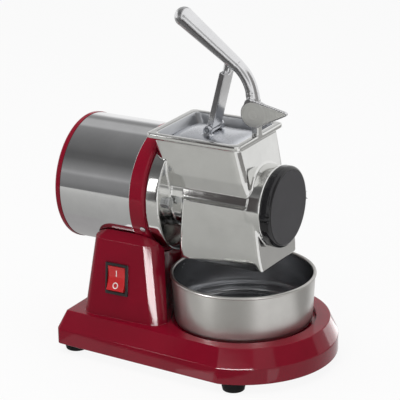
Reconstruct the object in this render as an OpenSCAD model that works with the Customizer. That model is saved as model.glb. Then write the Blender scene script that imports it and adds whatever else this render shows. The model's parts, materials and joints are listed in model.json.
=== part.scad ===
// Electric grater with a red cast base, a polished grating head, a lever presser and a steel bowl.
// Millimetres. X runs from the motor to the front cap, Y across and Z up.
// The origin lies on the table under the middle of the grater.

/* [Base] */
// Radius of the round front end about the bowl axis
base_front_r = 92.5; // [90:0.5:98]
// Distance from the bowl axis to the corners where the straight sides meet the round end
side_reach = 20; // [12:1:26]
// Width at the rear edge
base_rear_width = 157.5; // [152:0.5:168]
// Ledge of the base behind the foot of the pedestal
base_rear_ledge = 22.5; // [18:0.5:25]
// Rounding of the rear corners in plan
base_corner_r = 5; // [4:0.5:9]
// Height of the upright skirt
skirt_height = 16; // [12:0.5:20]
// Height of the sloping shoulder above the skirt
shoulder_height = 18; // [16:0.5:22]
// Distance that the shoulder slopes inwards
shoulder_inset = 8; // [5:0.5:10]
// Wall of the casting
base_wall = 4.5; // [3.5:0.5:6]
// Depth of the round bowl seat
seat_depth = 5; // [3:0.5:7]
// Gap round the bowl in its seat
seat_gap = 3; // [2:0.5:5]

/* [Feet and bottom plate] */
// Height of a rubber foot
foot_height = 9; // [7:0.5:14]
// Diameter of a rubber foot
foot_d = 23; // [20:0.5:26]
// Distance from a foot's middle to the front or rear edge of the base
foot_inset = 12; // [11.5:0.5:15]
// Distance from a rear foot's middle to the side of the base
rear_foot_inset = 18; // [14:0.5:22]
// Diameter of the bosses that the foot screws go into
foot_boss_d = 19; // [14:0.5:20]
// Shank diameter of a foot screw
foot_screw_d = 5; // [4:0.5:6]
// Length of a foot screw under its head
foot_screw_length = 18; // [14:1:20]
// Sheet thickness of the bottom plate
plate_t = 1.5; // [1:0.25:2.5]

/* [Pedestal] */
// Length of the pedestal at its shoulder
pedestal_length = 69; // [64:1:74]
// Width of the pedestal at its shoulder
pedestal_width = 124; // [120:1:128]
// Distance that the rear face spreads towards the base
pedestal_heel = 11.5; // [6:0.5:14]
// Distance that the front face spreads towards the base
pedestal_toe = 10; // [6:0.5:12]
// Distance that each side spreads towards the base
pedestal_spread = 6; // [3:0.5:8]
// Wall of the pedestal
pedestal_wall = 6; // [4.5:0.5:7]
// Rounding of the upright corners
pedestal_corner_r = 13; // [10:0.5:16]
// Distance from the motor face forward to the pedestal's front shoulder
pedestal_lead = 5; // [3:0.5:8]
// Height of the pedestal's top edge below the motor axis
cradle_drop = 32; // [28:1:38]
// Height of the sloping top edge
top_slope = 8; // [5:0.5:10]

/* [Motor] */
// Height of the motor and roller axis above the table
axis_height = 162; // [158:1:172]
// Place of the motor face along X
motor_face_x = -29; // [-31:0.5:-27]
// Outer diameter of the steel shell
shell_d = 124; // [120:0.5:126]
// Length of the steel shell
shell_length = 79; // [72:1:84]
// Sheet thickness of the shell
shell_t = 1.2; // [0.8:0.1:2]
// Length of the front shield outside the shell
shield_length = 19.5; // [18:0.5:22]
// Rim of the front shield proud of the shell
shield_proud = 0.5; // [0.3:0.1:0.6]
// Rounding of the front shield's edge
shield_round = 3; // [2:0.25:3.25]
// Thickness of the front shield's wall
shield_wall = 12; // [11:0.5:13]
// Depth of the rear cover outside the shell
cover_depth = 6; // [5:0.5:8]
// Wall of the rear cover
cover_wall = 4; // [3:0.5:4.5]
// Rounding of the rear cover's edge
cover_round = 3; // [2:0.5:3.5]
// Length of the spigots inside the shell
spigot_length = 6; // [4:0.5:7]
// Wall of the spigots inside the shell
spigot_wall = 7.5; // [6.5:0.5:8]
// Length of the stator and rotor stacks
stack_length = 46; // [40:1:48]
// Diameter of the rotor
rotor_d = 64; // [58:1:68]
// Air gap round the rotor
air_gap = 0.6; // [0.4:0.1:1]
// Length of the end windings
winding_length = 9; // [6:0.5:10]
// Shaft diameter
shaft_d = 17; // [15:0.5:18]
// Outer diameter of a bearing
bearing_d = 40; // [38:1:42]
// Width of a bearing
bearing_w = 12; // [10:0.5:13]
// Width of the groove between the rings of a bearing
race_width = 5; // [4:0.5:6]
// Wall round a bearing
bearing_wall = 6; // [4:0.5:7]
// Diameter of a tie rod
tie_rod_d = 4; // [3:0.5:4.5]
// Shank diameter of a motor screw
motor_screw_d = 6; // [5:0.5:7]
// Length of a motor screw under its head
motor_screw_length = 13; // [10:0.5:14]
// Distance between the two motor screws
motor_screw_span = 28; // [22:1:34]
// Thread diameter of a ring screw
ring_screw_d = 3; // [2.5:0.25:3.5]
// Depth of a ring screw in the front shield
ring_screw_depth = 7; // [5:0.5:8]
// Angle of the ring screws below the horizontal
ring_screw_angle = 24; // [20:1:26]

/* [Grating head] */
// Diameter of the neck flange
neck_d = 118; // [112:0.5:119]
// Thickness of the neck flange ahead of the motor face
neck_length = 10; // [8:0.5:12]
// Height of the register on the front shield that the neck flange sits over
register_height = 4; // [3:0.25:5]
// Diameter of the register
register_d = 100; // [96:0.5:104]
// Distance between the studs that hold the neck flange
stud_span = 82.4; // [81.6:0.2:84]
// Diameter of a head stud
head_stud_d = 6; // [5:0.5:6]
// Height of a head nut
head_nut_h = 4.5; // [4:0.25:5]
// Length from the neck flange to the back of the roller chamber
hub_length = 9.5; // [8:0.5:12]
// Gap round the roller
chamber_gap = 1.5; // [1:0.25:2]
// Wall of the roller chamber
chamber_wall = 4; // [3:0.25:4.25]
// Height of the hopper rim above the axis
rim_rise = 68; // [67.5:0.5:74]
// Height of the rim's lip
lip_height = 5; // [4:0.25:5]
// Overhang of the lip at the front and rear
lip_end = 4; // [3:0.5:6]
// Overhang of the lip at the sides
lip_side = 2.5; // [1.5:0.5:4]
// Corner radius of the lip in plan
lip_corner_r = 5; // [4:0.5:9]
// Outer length of the hopper
hopper_length = 93; // [90:0.5:96]
// Outer width of the hopper under the lip
hopper_width = 85; // [82:0.5:90]
// Outer width of the hopper at its throat
throat_width = 72; // [70:0.5:76]
// Inner width of the hopper at its throat
throat_inner = 57; // [54:0.5:58]
// Height of the throat above the axis
throat_rise = 15.5; // [14:0.5:17]
// Height of the fold in the hopper's walls above the axis
fold_rise = 30; // [26:0.5:34]
// Outer width of the hopper at the fold
fold_width = 80; // [78:0.5:80]
// Forward lean of the hopper from rim to throat
hopper_lean = 11; // [9:0.5:13]
// Distance of the mouth's middle behind the roller's middle
mouth_back = 19.5; // [17:0.5:21]
// Wall of the hopper at the rim
hopper_wall = 3.5; // [2.5:0.25:4]
// Rounding of the hopper's upright edges
hopper_corner_r = 9; // [6:0.5:11]
// Outer width of the chute
chute_width = 76; // [73:0.5:80]
// Height of the chute's shoulder above the axis
chute_rise = 5.5; // [4:0.5:7]
// Depth of the chute's mouth below the axis
chute_drop = 57; // [50:0.5:58]
// Spread of the chute's front towards its mouth
chute_front_flare = 7.8; // [4:0.2:8]
// Spread of the chute's rear towards its mouth
chute_rear_flare = 5.5; // [3:0.5:7]
// Distance of the chute's rear shoulder ahead of the roller's rear end
chute_back = 3; // [1:0.5:5]
// Wall of the chute
chute_wall = 3.5; // [2.5:0.25:4]
// Rounding of the chute's upright edges
chute_corner_r = 4; // [3.8:0.2:6]
// Diameter of the collar behind the cap
collar_d = 77.4; // [74:0.2:78]

/* [Roller] */
// Diameter of the grating roller
roller_d = 58; // [54:0.5:58.5]
// Length of the grating roller
roller_length = 78; // [74:0.5:80]
// Wall of the drum
drum_wall = 2.5; // [2:0.25:4]
// Length of the roller's hubs
roller_hub = 14; // [12:0.5:18]
// Diameter of the drive pin
drive_pin_d = 5; // [4:0.5:6]
// Length of the drive pin
drive_pin_length = 36; // [30:1:40]
// Outer diameter of the shaft seal
seal_d = 30; // [27:0.5:34]
// Width of the shaft seal
seal_w = 6.5; // [5:0.5:7]

/* [Front cap] */
// Diameter of the cap
cap_d = 79; // [78:0.5:84]
// Thickness of the cap
cap_t = 10.6; // [9:0.2:13]
// Rounding of the cap's front edge
cap_round = 4; // [2:0.5:5]
// Distance from the roller to the cap
cap_seat = 9.7; // [8.5:0.1:11]
// Length of the cap's plug inside the collar
plug_length = 7.7; // [6.5:0.1:8]
// Diameter of the cap's bearing pin
cap_pin_d = 12; // [10:0.5:14]
// Length of the cap's bearing pin past the plug
cap_pin_length = 10; // [8:0.5:12]
// Width of a cap ear
ear_width = 8; // [6:0.5:10]
// Ear proud of the cap
ear_proud = 2; // [1:0.25:3]
// Twist that frees the cap
cap_twist = 45; // [30:1:60]
// Diameter of a bayonet pin
bayonet_d = 3; // [2.5:0.25:3.5]
// Reach of a bayonet pin past the plug
bayonet_reach = 2.2; // [1.5:0.1:2.5]

/* [Lever] */
// Height of the lever pin above the rim
pivot_rise = 21.8; // [21:0.2:25]
// Distance of the lever pin behind the front of the lip
pivot_back = 3.6; // [2:0.2:5]
// Radius of the round end of the fork
fork_r = 13.3; // [12:0.1:14.5]
// Length from the lever pin to the tip of the nose
nose_length = 35.8; // [32:0.2:37]
// Angle of the nose above the horizontal
nose_angle = 8; // [5:0.5:12]
// Rounding of the tip of the nose
nose_tip_r = 2; // [1.5:0.25:3]
// Width of the fork
fork_width = 16; // [15:0.5:18]
// Diameter of the bridge that joins the cheeks under the arm
bridge_d = 10; // [9:0.5:11]
// Place of the arm's foot behind the lever pin
arm_foot_back = 4.6; // [3.5:0.1:5.5]
// Place of the arm's foot above the lever pin
arm_foot_rise = 9.6; // [9:0.1:10]
// Distance that the fork sits off the middle plane, towards the near side
fork_shift = 2.5; // [1.5:0.25:3.5]
// Thickness of a cheek of the fork
cheek_t = 3.5; // [3:0.25:4]
// Radius of the far cheek, which has no nose
far_cheek_r = 8.6; // [8.4:0.1:9.5]
// Thickness of the plates that cover the fork's cheeks
cheek_plate_t = 0.8; // [0.5:0.1:1.2]
// Inset of the cheek plates from the edge of the fork
cheek_plate_inset = 1.2; // [0.8:0.1:1.3]
// Radius of the hinge lug round its pin
lug_r = 6.8; // [6:0.2:7]
// Diameter of the lever pin
lever_pin_d = 6; // [5:0.25:7]
// Diameter of the arm
arm_d = 12.5; // [11:0.25:14]
// Straight rise of the arm above the fork
arm_rise = 8; // [6:0.5:11]
// Direction of the arm's rise, from straight ahead
arm_angle = 100; // [97:0.5:103]
// Step between the arm and its straight ends
arm_step = 0.3; // [0.2:0.1:0.6]
// Bend radius of the arm
bend_r = 40; // [36:0.5:46]
// Bend of the arm
bend_angle = 44.5; // [40:0.5:48]
// Length of the grip
grip_length = 70; // [63:0.5:74]
// Diameter of the grip at its end
grip_d = 19; // [16:0.25:22]
// Thickness of the leg
leg_t = 6; // [4.4:0.2:6.4]
// Width of the leg
leg_width = 19; // [16:0.5:20]
// Distance of the leg's top behind the start of the grip
leg_back = 9; // [7:0.5:11]
// Diameter of the leg's neck under the grip
leg_neck_d = 8; // [7:0.25:9]
// Diameter of the leg's foot
leg_foot_d = 7.6; // [7:0.1:7.8]

/* [Presser] */
// Gap between the presser and the hopper's rear wall at the rim
presser_rear_gap = 3; // [2.5:0.25:5]
// Gap between the presser and the hopper's front wall at the rim
presser_front_gap = 4; // [3.5:0.25:6]
// Distance that the presser's underside reaches ahead of its top
presser_toe = 2; // [1:0.25:2.5]
// Distance of the presser pin behind the middle of the presser
presser_pin_back = 0.5; // [0:0.25:2]
// Width of the presser at its top
presser_width = 73; // [68:0.5:74]
// Width of the presser at its underside
presser_under_width = 65; // [60:0.5:66]
// Depth of the presser
presser_depth = 22.5; // [18:0.5:24]
// Crown of the presser's top
presser_crown = 4; // [2:0.25:5]
// Slope of the rear face, from top to underside
presser_heel = 12; // [11:0.5:16]
// Height of the rim above the presser's crown
presser_sink = 3.8; // [3:0.2:6]
// Height of the presser pin above the crown
presser_pin_rise = 4.3; // [4.2:0.1:5]
// Diameter of the presser pin
presser_pin_d = 4; // [3:0.25:4.5]
// Diameter of a presser lug
presser_lug_d = 9; // [8.8:0.1:10]
// Width of a presser lug
presser_lug_w = 4.5; // [3.5:0.25:6]

/* [Bowl] */
// Place of the bowl axis along X
bowl_x = 41; // [38:0.5:44]
// Diameter over the rolled rim
bowl_rim_d = 143.4; // [136:0.2:145]
// Diameter of the foot of the wall
bowl_foot_d = 135.4; // [128:0.2:137]
// Height of the bowl
bowl_height = 50.7; // [40:0.5:52]
// Sheet thickness of the bowl
bowl_t = 1; // [0.8:0.1:1.5]
// Radius of the rolled rim
roll_r = 1.6; // [1.2:0.1:2]
// Rounding of the wall's foot
bowl_foot_r = 7; // [5:0.5:10]
// Diameter of the raised middle of the floor
bowl_step_d = 90; // [70:1:100]
// Height of the raised middle of the floor
bowl_step = 8; // [4:0.5:12]
// Gap between the bowl and the pedestal
bowl_clearance = 4.3; // [3:0.1:6]

/* [Switch] */
// Width of the switch frame
switch_width = 25; // [22:0.5:28]
// Height of the switch frame
switch_height = 31.5; // [28:0.5:34]
// Switch frame proud of the pedestal
switch_proud = 2; // [1.5:0.25:3]
// Border of the switch frame
switch_border = 3; // [2.5:0.25:4]
// Wall of the switch body
switch_wall = 1.25; // [1:0.05:1.4]
// Depth of the switch body behind the face
switch_depth = 24; // [20:0.5:28]
// Distance of the switch behind the pedestal's front shoulder
switch_back = 38.5; // [36:0.5:42]
// Height of the switch above the base
switch_rise = 41; // [38:0.5:46]
// Tip of the rocker to either side
rocker_tip = 7; // [5:0.5:8]
// Diameter of the rocker's axle
rocker_axle_d = 3; // [2:0.25:3.5]
// Depth of the rocker's axle behind the pedestal face
rocker_axle_depth = 3; // [2.5:0.25:4]

/* [Inlet and electrics] */
// Thread diameter of the cable gland
gland_d = 16; // [12:0.5:18]
// Thickness of the gland's hexagons
gland_flange = 3; // [2.5:0.5:5]
// Bore of the cable gland
gland_bore = 7; // [6:0.5:9]
// Place of the gland across the pedestal
gland_y = 25; // [15:1:32]
// Height of the gland above the base
gland_rise = 19; // [16:0.5:26]
// Diameter of the run capacitor
capacitor_d = 30; // [25:1:35]
// Length of the run capacitor
capacitor_length = 51; // [44:1:52]
// Width of the capacitor clip
clip_width = 14; // [10:0.5:18]
// Length of the terminal block
terminal_length = 40; // [32:1:46]
// Width of the terminal block
terminal_width = 16; // [14:1:20]
// Height of the terminal block
terminal_height = 13; // [10:0.5:16]

/* [Fits] */
// Radial gap of pins, shafts and seated pieces in their holes
fit_gap = 0.05; // [0.02:0.01:0.08]
// Gap between pieces that pass or stand beside each other
clear_gap = 0.3; // [0.25:0.05:0.5]

/* [Hidden] */
$fn = 96;
// Sides of the small round corners that are blended into flat walls
corner_fn = 32;
// Radius left at the corners of an outline that is drawn inside the base
least_corner_r = 1.5;
// Thickness of the slices that a blended wall is stretched between
slice = 0.01;
// Overlap of a cut past the face it opens
cut = 1;
// Counts of repeated pieces
tie_rod_count = 4;
head_stud_count = 2;
terminal_count = 4;
// Turn of the tie rods from the upright, and of the front feet from the middle plane
tie_rod_turn = 45;
front_foot_turn = 68.5;
// Sides of a hexagon
hex_fn = 6;
// Diameters of screw heads and nuts against their threads
screw_head_ratio = 1.8;
motor_head_ratio = 1.7;
head_nut_ratio = 1.9;
gland_hex_ratio = 1.35;
// Widths of the gland's tapered sleeve at its root and tip against its thread
gland_root_ratio = 1.1;
gland_tip_ratio = 0.75;

// Levels of the base and pedestal
skirt_top = foot_height + skirt_height;
base_top = skirt_top + shoulder_height;
seat_z = base_top - seat_depth;
cavity_top = seat_z - base_wall;
pedestal_top = axis_height - cradle_drop;
pedestal_shoulder = pedestal_top - top_slope;
saddle_r = shell_d / 2 + shield_proud + clear_gap;
cavity_roof = axis_height - saddle_r - base_wall;
pedestal_front_x = motor_face_x + pedestal_lead;
pedestal_rear_x = pedestal_front_x - pedestal_length;
base_rear_x = pedestal_rear_x - pedestal_heel - base_rear_ledge;
bowl_relief_r = bowl_rim_d / 2 + bowl_clearance;
side_angle = atan(pedestal_spread / (pedestal_shoulder - base_top));
rear_angle = atan(pedestal_heel / (pedestal_shoulder - base_top));

// Places along the motor axis
shell_front_x = motor_face_x - shield_length;
shell_rear_x = shell_front_x - shell_length;
cover_rear_x = shell_rear_x - cover_depth;
motor_screw_x = (shell_front_x + motor_face_x - shield_wall) / 2;
cover_inner_x = cover_rear_x + cover_wall;
shield_r = shell_d / 2 + shield_proud;
ring_front_x = motor_face_x - register_height;
ring_screw_head_d = screw_head_ratio * ring_screw_d;
ring_screw_x = ring_front_x - shield_round / 2 - ring_screw_head_d / 2;
ring_screw_seat_r = shield_r - ring_screw_d / 2;
shell_inner_r = shell_d / 2 - shell_t;
spigot_r = shell_inner_r - fit_gap;
stack_front_x = shell_front_x - spigot_length - winding_length + 2 * clear_gap;
stack_rear_x = stack_front_x - stack_length;
tie_rod_r = spigot_r - spigot_wall / 2 + fit_gap;
front_bearing_x = motor_face_x - shield_wall / 2 - bearing_w;
neck_front_x = motor_face_x + neck_length;
chamber_rear_x = neck_front_x + hub_length;
roller_rear_x = chamber_rear_x + chamber_gap;
roller_front_x = roller_rear_x + roller_length;
roller_middle_x = (roller_rear_x + roller_front_x) / 2;
collar_front_x = roller_front_x + cap_seat;
chamber_r = roller_d / 2 + chamber_gap;
shaft_hole_r = shaft_d / 2 + cut;

// Levels and corners of the head
rim_z = axis_height + rim_rise;
lip_z = rim_z - lip_height;
throat_z = axis_height + throat_rise;
fold_z = axis_height + fold_rise;
// The walls run up into the lip as far as its middle
hopper_top_z = lip_z + lip_height / 2;
fold_lean = hopper_lean * (hopper_top_z - fold_z) / (hopper_top_z - throat_z);
mouth_middle_x = roller_middle_x - mouth_back;
mouth_rear_x = mouth_middle_x - hopper_length / 2;
mouth_front_x = mouth_middle_x + hopper_length / 2;
lip_front_x = mouth_front_x + lip_end;
chute_rear_x = roller_rear_x + chute_back;
chute_front_x = roller_front_x + chute_wall;
chute_z = axis_height - chute_drop;

// Lever and presser places
pivot_x = lip_front_x - pivot_back;
pivot_z = rim_z + pivot_rise;
cheek_gap = fork_width - 2 * cheek_t;
lug_width = cheek_gap - 2 * clear_gap;
arm_foot_x = pivot_x - arm_foot_back;
arm_foot_z = pivot_z + arm_foot_rise;
bend_start_x = arm_foot_x + arm_rise * cos(arm_angle);
bend_start_z = arm_foot_z + arm_rise * sin(arm_angle);
bend_x = bend_start_x - bend_r * sin(arm_angle);
bend_z = bend_start_z + bend_r * cos(arm_angle);
grip_angle = arm_angle + bend_angle;
grip_start_x = bend_x + bend_r * sin(grip_angle);
grip_start_z = bend_z - bend_r * cos(grip_angle);
presser_top = rim_z - presser_sink;
presser_rear_x = mouth_rear_x + hopper_wall + presser_rear_gap;
presser_front_x = mouth_front_x - hopper_wall - presser_front_gap;
presser_length = presser_front_x - presser_rear_x;
presser_pin_x = (presser_rear_x + presser_front_x) / 2 - presser_pin_back;
presser_pin_z = presser_top + presser_pin_rise;
leg_top_x = grip_start_x - leg_back;
leg_top_z = grip_start_z - leg_back * tan(grip_angle) - arm_d / 2;

// Bowl and switch places
bowl_z = seat_z + clear_gap;
bowl_rim_r = bowl_rim_d / 2 - roll_r;
switch_x = pedestal_front_x - switch_back;
switch_z = base_top + switch_rise;
plate_top = foot_height + plate_t;
capacitor_z = plate_top + capacitor_d / 2 + plate_t;
capacitor_x = pedestal_rear_x - pedestal_heel + 2 * base_wall;
gland_z = base_top + gland_rise;
gland_hex_d = gland_hex_ratio * gland_d;
gland_sleeve = 2 * gland_flange;
switch_body_w = switch_width - switch_border;
switch_body_h = switch_height - switch_border;
switch_open_w = switch_body_w - 2 * switch_wall;
switch_open_h = switch_body_h - 2 * switch_wall;

// Distance that the pedestal has spread at height z, as a share of its spread at the base
function spread_at(z) = (pedestal_shoulder - z) / (pedestal_shoulder - base_top);
function side_y(z) = pedestal_width / 2 + pedestal_spread * spread_at(z);
function rear_x(z) = pedestal_rear_x - pedestal_heel * spread_at(z);
function front_x(z) = pedestal_front_x + pedestal_toe * spread_at(z);
// Inset of the shoulder's outer face at height z
function shoulder_at(z) = shoulder_inset * (z - skirt_top) / shoulder_height;
// Levels of a tapered box, as [rear x, front x, half width, height, corner radius]
function pedestal_level(z, inset) = [rear_x(z) + inset, front_x(z) - inset, side_y(z) - inset, z,
    pedestal_corner_r - min(inset, pedestal_corner_r - 1)];
hopper_top = [mouth_rear_x, mouth_front_x, hopper_width / 2, hopper_top_z, hopper_corner_r];
hopper_low = [mouth_rear_x + hopper_lean, mouth_front_x + hopper_lean, throat_width / 2, throat_z,
    hopper_corner_r];
hopper_fold = [mouth_rear_x + fold_lean, mouth_front_x + fold_lean, fold_width / 2, fold_z,
    hopper_corner_r];
hopper_in_top = [mouth_rear_x + hopper_wall, mouth_front_x - hopper_wall,
    hopper_width / 2 - hopper_wall, rim_z + cut, hopper_corner_r - hopper_wall];
hopper_in_low = [chamber_rear_x, mouth_front_x + hopper_lean - chamber_wall, throat_inner / 2,
    throat_z - cut, hopper_corner_r - hopper_wall];
chute_top = [chute_rear_x, chute_front_x, chute_width / 2, axis_height + chute_rise,
    chute_corner_r];
chute_low = [chute_rear_x - chute_rear_flare, chute_front_x + chute_front_flare, chute_width / 2,
    chute_z, chute_corner_r];
chute_in_top = [chute_rear_x + chute_wall, chute_front_x - chute_wall,
    chute_width / 2 - chute_wall, axis_height, chute_corner_r - chute_wall + slice];
chute_in_low = [chute_low[0] + chute_wall, chute_low[1] - chute_wall,
    chute_width / 2 - chute_wall, chute_z - cut, chute_corner_r - chute_wall + slice];

// Local z along the motor axis, starting at x
module along_axis(x = 0) {
    translate([x, 0, axis_height]) rotate([0, 90, 0]) children();
}

// Local z along Y, centred at a place in the middle plane
module across(x, z) {
    translate([x, 0, z]) rotate([90, 0, 0]) children();
}

// Local z along the lever pin, from the middle of the fork towards the near side
module at_pivot() {
    translate([0, -fork_shift, 0]) across(pivot_x, pivot_z) children();
}

// Copies at even angles round local z
module ring_of(count, radius, start = 0) {
    for (i = [0 : count - 1])
        rotate([0, 0, start + i * 360 / count]) translate([radius, 0, 0]) children();
}

// Disc with one rounded edge at its far end
module rounded_disc(radius, length, rounding) {
    cylinder(r = radius, h = length - rounding);
    cylinder(r = radius - rounding, h = length);
    translate([0, 0, length - rounding])
        rotate_extrude() translate([radius - rounding, 0]) circle(r = rounding);
}

// Four corner slices of a tapered box
module corner_slices(level) {
    for (x = [level[0] + level[4], level[1] - level[4]], side = [-1, 1])
        translate([x, side * (level[2] - level[4]), level[3]])
            cylinder(r = level[4], h = slice, $fn = corner_fn);
}

// Box that tapers between two levels
module tapered_box(low, high) {
    hull() {
        corner_slices(low);
        corner_slices(high);
    }
}

// Slice of the base's outline, drawn in by an inset
module base_slice(inset, z, height = slice) {
    corner = max(base_corner_r, inset + least_corner_r);
    translate([bowl_x, 0, z]) intersection() {
        cylinder(r = base_front_r - inset, h = height);
        translate([side_reach * (1 - inset / base_front_r), -base_front_r, -cut])
            cube([base_front_r, 2 * base_front_r, height + 2 * cut]);
    }
    for (side = [-1, 1])
        translate([base_rear_x + corner, side * (base_rear_width / 2 - corner), z])
            cylinder(r = corner - inset, h = height, $fn = corner_fn);
}

// Places of the four feet
module at_feet() {
    front_y = base_front_r - foot_inset;
    for (side = [-1, 1]) {
        translate([bowl_x, 0, 0]) rotate([0, 0, side * front_foot_turn])
            translate([front_y, 0, 0]) children();
        translate([base_rear_x + foot_inset, side * (base_rear_width / 2 - rear_foot_inset), 0])
            children();
    }
}

// Local frame on the rear face of the pedestal at the gland: z outwards
module on_rear_face() {
    translate([rear_x(gland_z), gland_y, gland_z]) rotate([0, rear_angle - 90, 0]) children();
}

// Local frame on the switch face: x along X, y up the face, z outwards
module on_switch_face() {
    translate([switch_x, -side_y(switch_z), switch_z]) rotate([90 - side_angle, 0, 0]) children();
}

module centred_box(width, depth, height, z = 0) {
    translate([-width / 2, -depth / 2, z]) cube([width, depth, height]);
}

// Places of the two motor screws
module at_motor_screws() {
    for (side = [-1, 1])
        translate([motor_screw_x, side * motor_screw_span / 2, 0]) children();
}

// Places of the two ring screws, local z outwards from the motor axis
module at_ring_screws() {
    for (side = [-1, 1])
        translate([ring_screw_x, 0, axis_height])
            rotate([side * (90 + ring_screw_angle), 0, 0]) children();
}

module base_casting() {
    color([0.5, 0.06, 0.1]) difference() {
        union() {
            hull() {
                base_slice(0, foot_height, skirt_height);
                base_slice(shoulder_inset, base_top - slice);
            }
            hull() {
                corner_slices(pedestal_level(base_top - cut, 0));
                corner_slices(pedestal_level(pedestal_shoulder, 0));
                corner_slices([pedestal_rear_x + top_slope, pedestal_front_x - top_slope,
                    pedestal_width / 2 - top_slope, pedestal_top, pedestal_corner_r - 2]);
            }
        }
        base_cavity();
        pedestal_cavity();
        translate([bowl_x, 0, base_top]) cylinder(r = bowl_relief_r, h = pedestal_top);
        translate([bowl_x, 0, seat_z]) cylinder(d = bowl_foot_d + 2 * seat_gap, h = base_top);
        along_axis(pedestal_rear_x - pedestal_heel) cylinder(r = saddle_r, h = 2 * pedestal_length);
        on_switch_face() centred_box(switch_body_w + 2 * fit_gap, switch_body_h + 2 * fit_gap,
            switch_depth + 2 * cut, -switch_depth - cut);
        on_rear_face() translate([0, 0, -2 * pedestal_wall])
            cylinder(d = gland_d + 2 * fit_gap, h = 3 * pedestal_wall);
        at_motor_screws() translate([0, 0, cavity_roof - cut])
            cylinder(d = motor_screw_d + 2 * fit_gap, h = axis_height / 2);
        at_feet() translate([0, 0, foot_height])
            cylinder(d = foot_screw_d + 2 * fit_gap, h = foot_screw_length);
    }
}

module base_cavity() {
    difference() {
        hull() {
            base_slice(base_wall, foot_height - cut, skirt_height - base_wall / 2);
            base_slice(base_wall + shoulder_at(cavity_top), cavity_top);
        }
        at_feet() translate([0, 0, plate_top]) cylinder(d = foot_boss_d, h = base_top);
    }
}

module pedestal_cavity() {
    difference() {
        tapered_box(pedestal_level(cavity_top - cut, pedestal_wall),
            pedestal_level(cavity_roof, pedestal_wall));
        translate([bowl_x, 0, 0]) cylinder(r = bowl_relief_r + base_wall, h = pedestal_top);
    }
}

module bottom_plate() {
    color([0.6, 0.61, 0.62]) difference() {
        hull() base_slice(base_wall + clear_gap, foot_height, plate_t);
        at_feet() translate([0, 0, foot_height - cut])
            cylinder(d = foot_screw_d + 2 * fit_gap, h = plate_t + 2 * cut);
    }
}

module rubber_feet() {
    color([0.05, 0.05, 0.05]) at_feet() difference() {
        union() {
            cylinder(d1 = foot_d - 2 * cut, d2 = foot_d, h = foot_height / 2);
            translate([0, 0, foot_height / 2]) cylinder(d = foot_d, h = foot_height / 2);
        }
        translate([0, 0, -cut]) cylinder(d = foot_screw_d + 2 * fit_gap, h = foot_height + 2 * cut);
        translate([0, 0, -cut])
            cylinder(d = 2 * foot_screw_d + 2 * clear_gap, h = foot_height / 2 + cut);
    }
}

module foot_screws() {
    color([0.75, 0.76, 0.78]) at_feet() {
        translate([0, 0, foot_height / 2]) cylinder(d = foot_screw_d, h = foot_screw_length);
        translate([0, 0, foot_height / 2 - foot_screw_d / 2])
            cylinder(d = 2 * foot_screw_d, h = foot_screw_d / 2);
    }
}

module switch_frame() {
    color([0.07, 0.07, 0.075]) on_switch_face() difference() {
        union() {
            centred_box(switch_width, switch_height, switch_proud, fit_gap);
            centred_box(switch_body_w, switch_body_h, switch_depth + cut, -switch_depth);
        }
        centred_box(switch_open_w, switch_open_h, switch_depth + 2 * switch_proud,
            switch_wall - switch_depth);
        rocker_axle(rocker_axle_d + 2 * fit_gap, switch_width);
    }
}

// Axle of the rocker, along X through the middle of the switch
module rocker_axle(diameter, length) {
    translate([0, 0, -rocker_axle_depth]) rotate([0, 90, 0])
        cylinder(d = diameter, h = length, center = true);
}

module switch_rocker() {
    width = switch_open_w - 2 * clear_gap;
    height = switch_open_h - 6 * clear_gap;
    hollow_r = 1.5 * height;
    color([0.75, 0.05, 0.05]) on_switch_face() {
        translate([0, 0, -rocker_axle_depth]) rotate([-rocker_tip, 0, 0]) difference() {
            centred_box(width, height, rocker_axle_depth + 2 * switch_proud + rocker_axle_d,
                -rocker_axle_d);
            translate([0, 0, rocker_axle_depth + switch_proud + hollow_r]) rotate([0, 90, 0])
                cylinder(r = hollow_r, h = switch_width, center = true);
        }
        rocker_axle(rocker_axle_d, switch_body_w);
    }
}

module cable_gland() {
    color([0.06, 0.06, 0.065]) on_rear_face() difference() {
        union() {
            translate([0, 0, fit_gap]) cylinder(d = gland_hex_d, h = gland_flange, $fn = hex_fn);
            translate([0, 0, gland_flange])
                cylinder(d1 = gland_root_ratio * gland_d, d2 = gland_tip_ratio * gland_d, h = gland_sleeve);
            translate([0, 0, -pedestal_wall - 2 * gland_flange])
                cylinder(d = gland_d, h = pedestal_wall + 2 * gland_flange + cut);
        }
        translate([0, 0, -4 * pedestal_wall]) cylinder(d = gland_bore, h = 8 * pedestal_wall);
    }
}

module gland_nut() {
    color([0.06, 0.06, 0.065]) on_rear_face() translate([0, 0, -pedestal_wall - gland_flange])
        difference() {
            cylinder(d = gland_hex_d, h = gland_flange, $fn = hex_fn);
            translate([0, 0, -cut]) cylinder(d = gland_d + 2 * fit_gap, h = gland_flange + 2 * cut);
        }
}

module motor_shell() {
    color([0.78, 0.79, 0.8]) along_axis(shell_rear_x) difference() {
        cylinder(d = shell_d, h = shell_length);
        translate([0, 0, -cut]) cylinder(r = shell_inner_r, h = shell_length + 2 * cut);
    }
}

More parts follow.
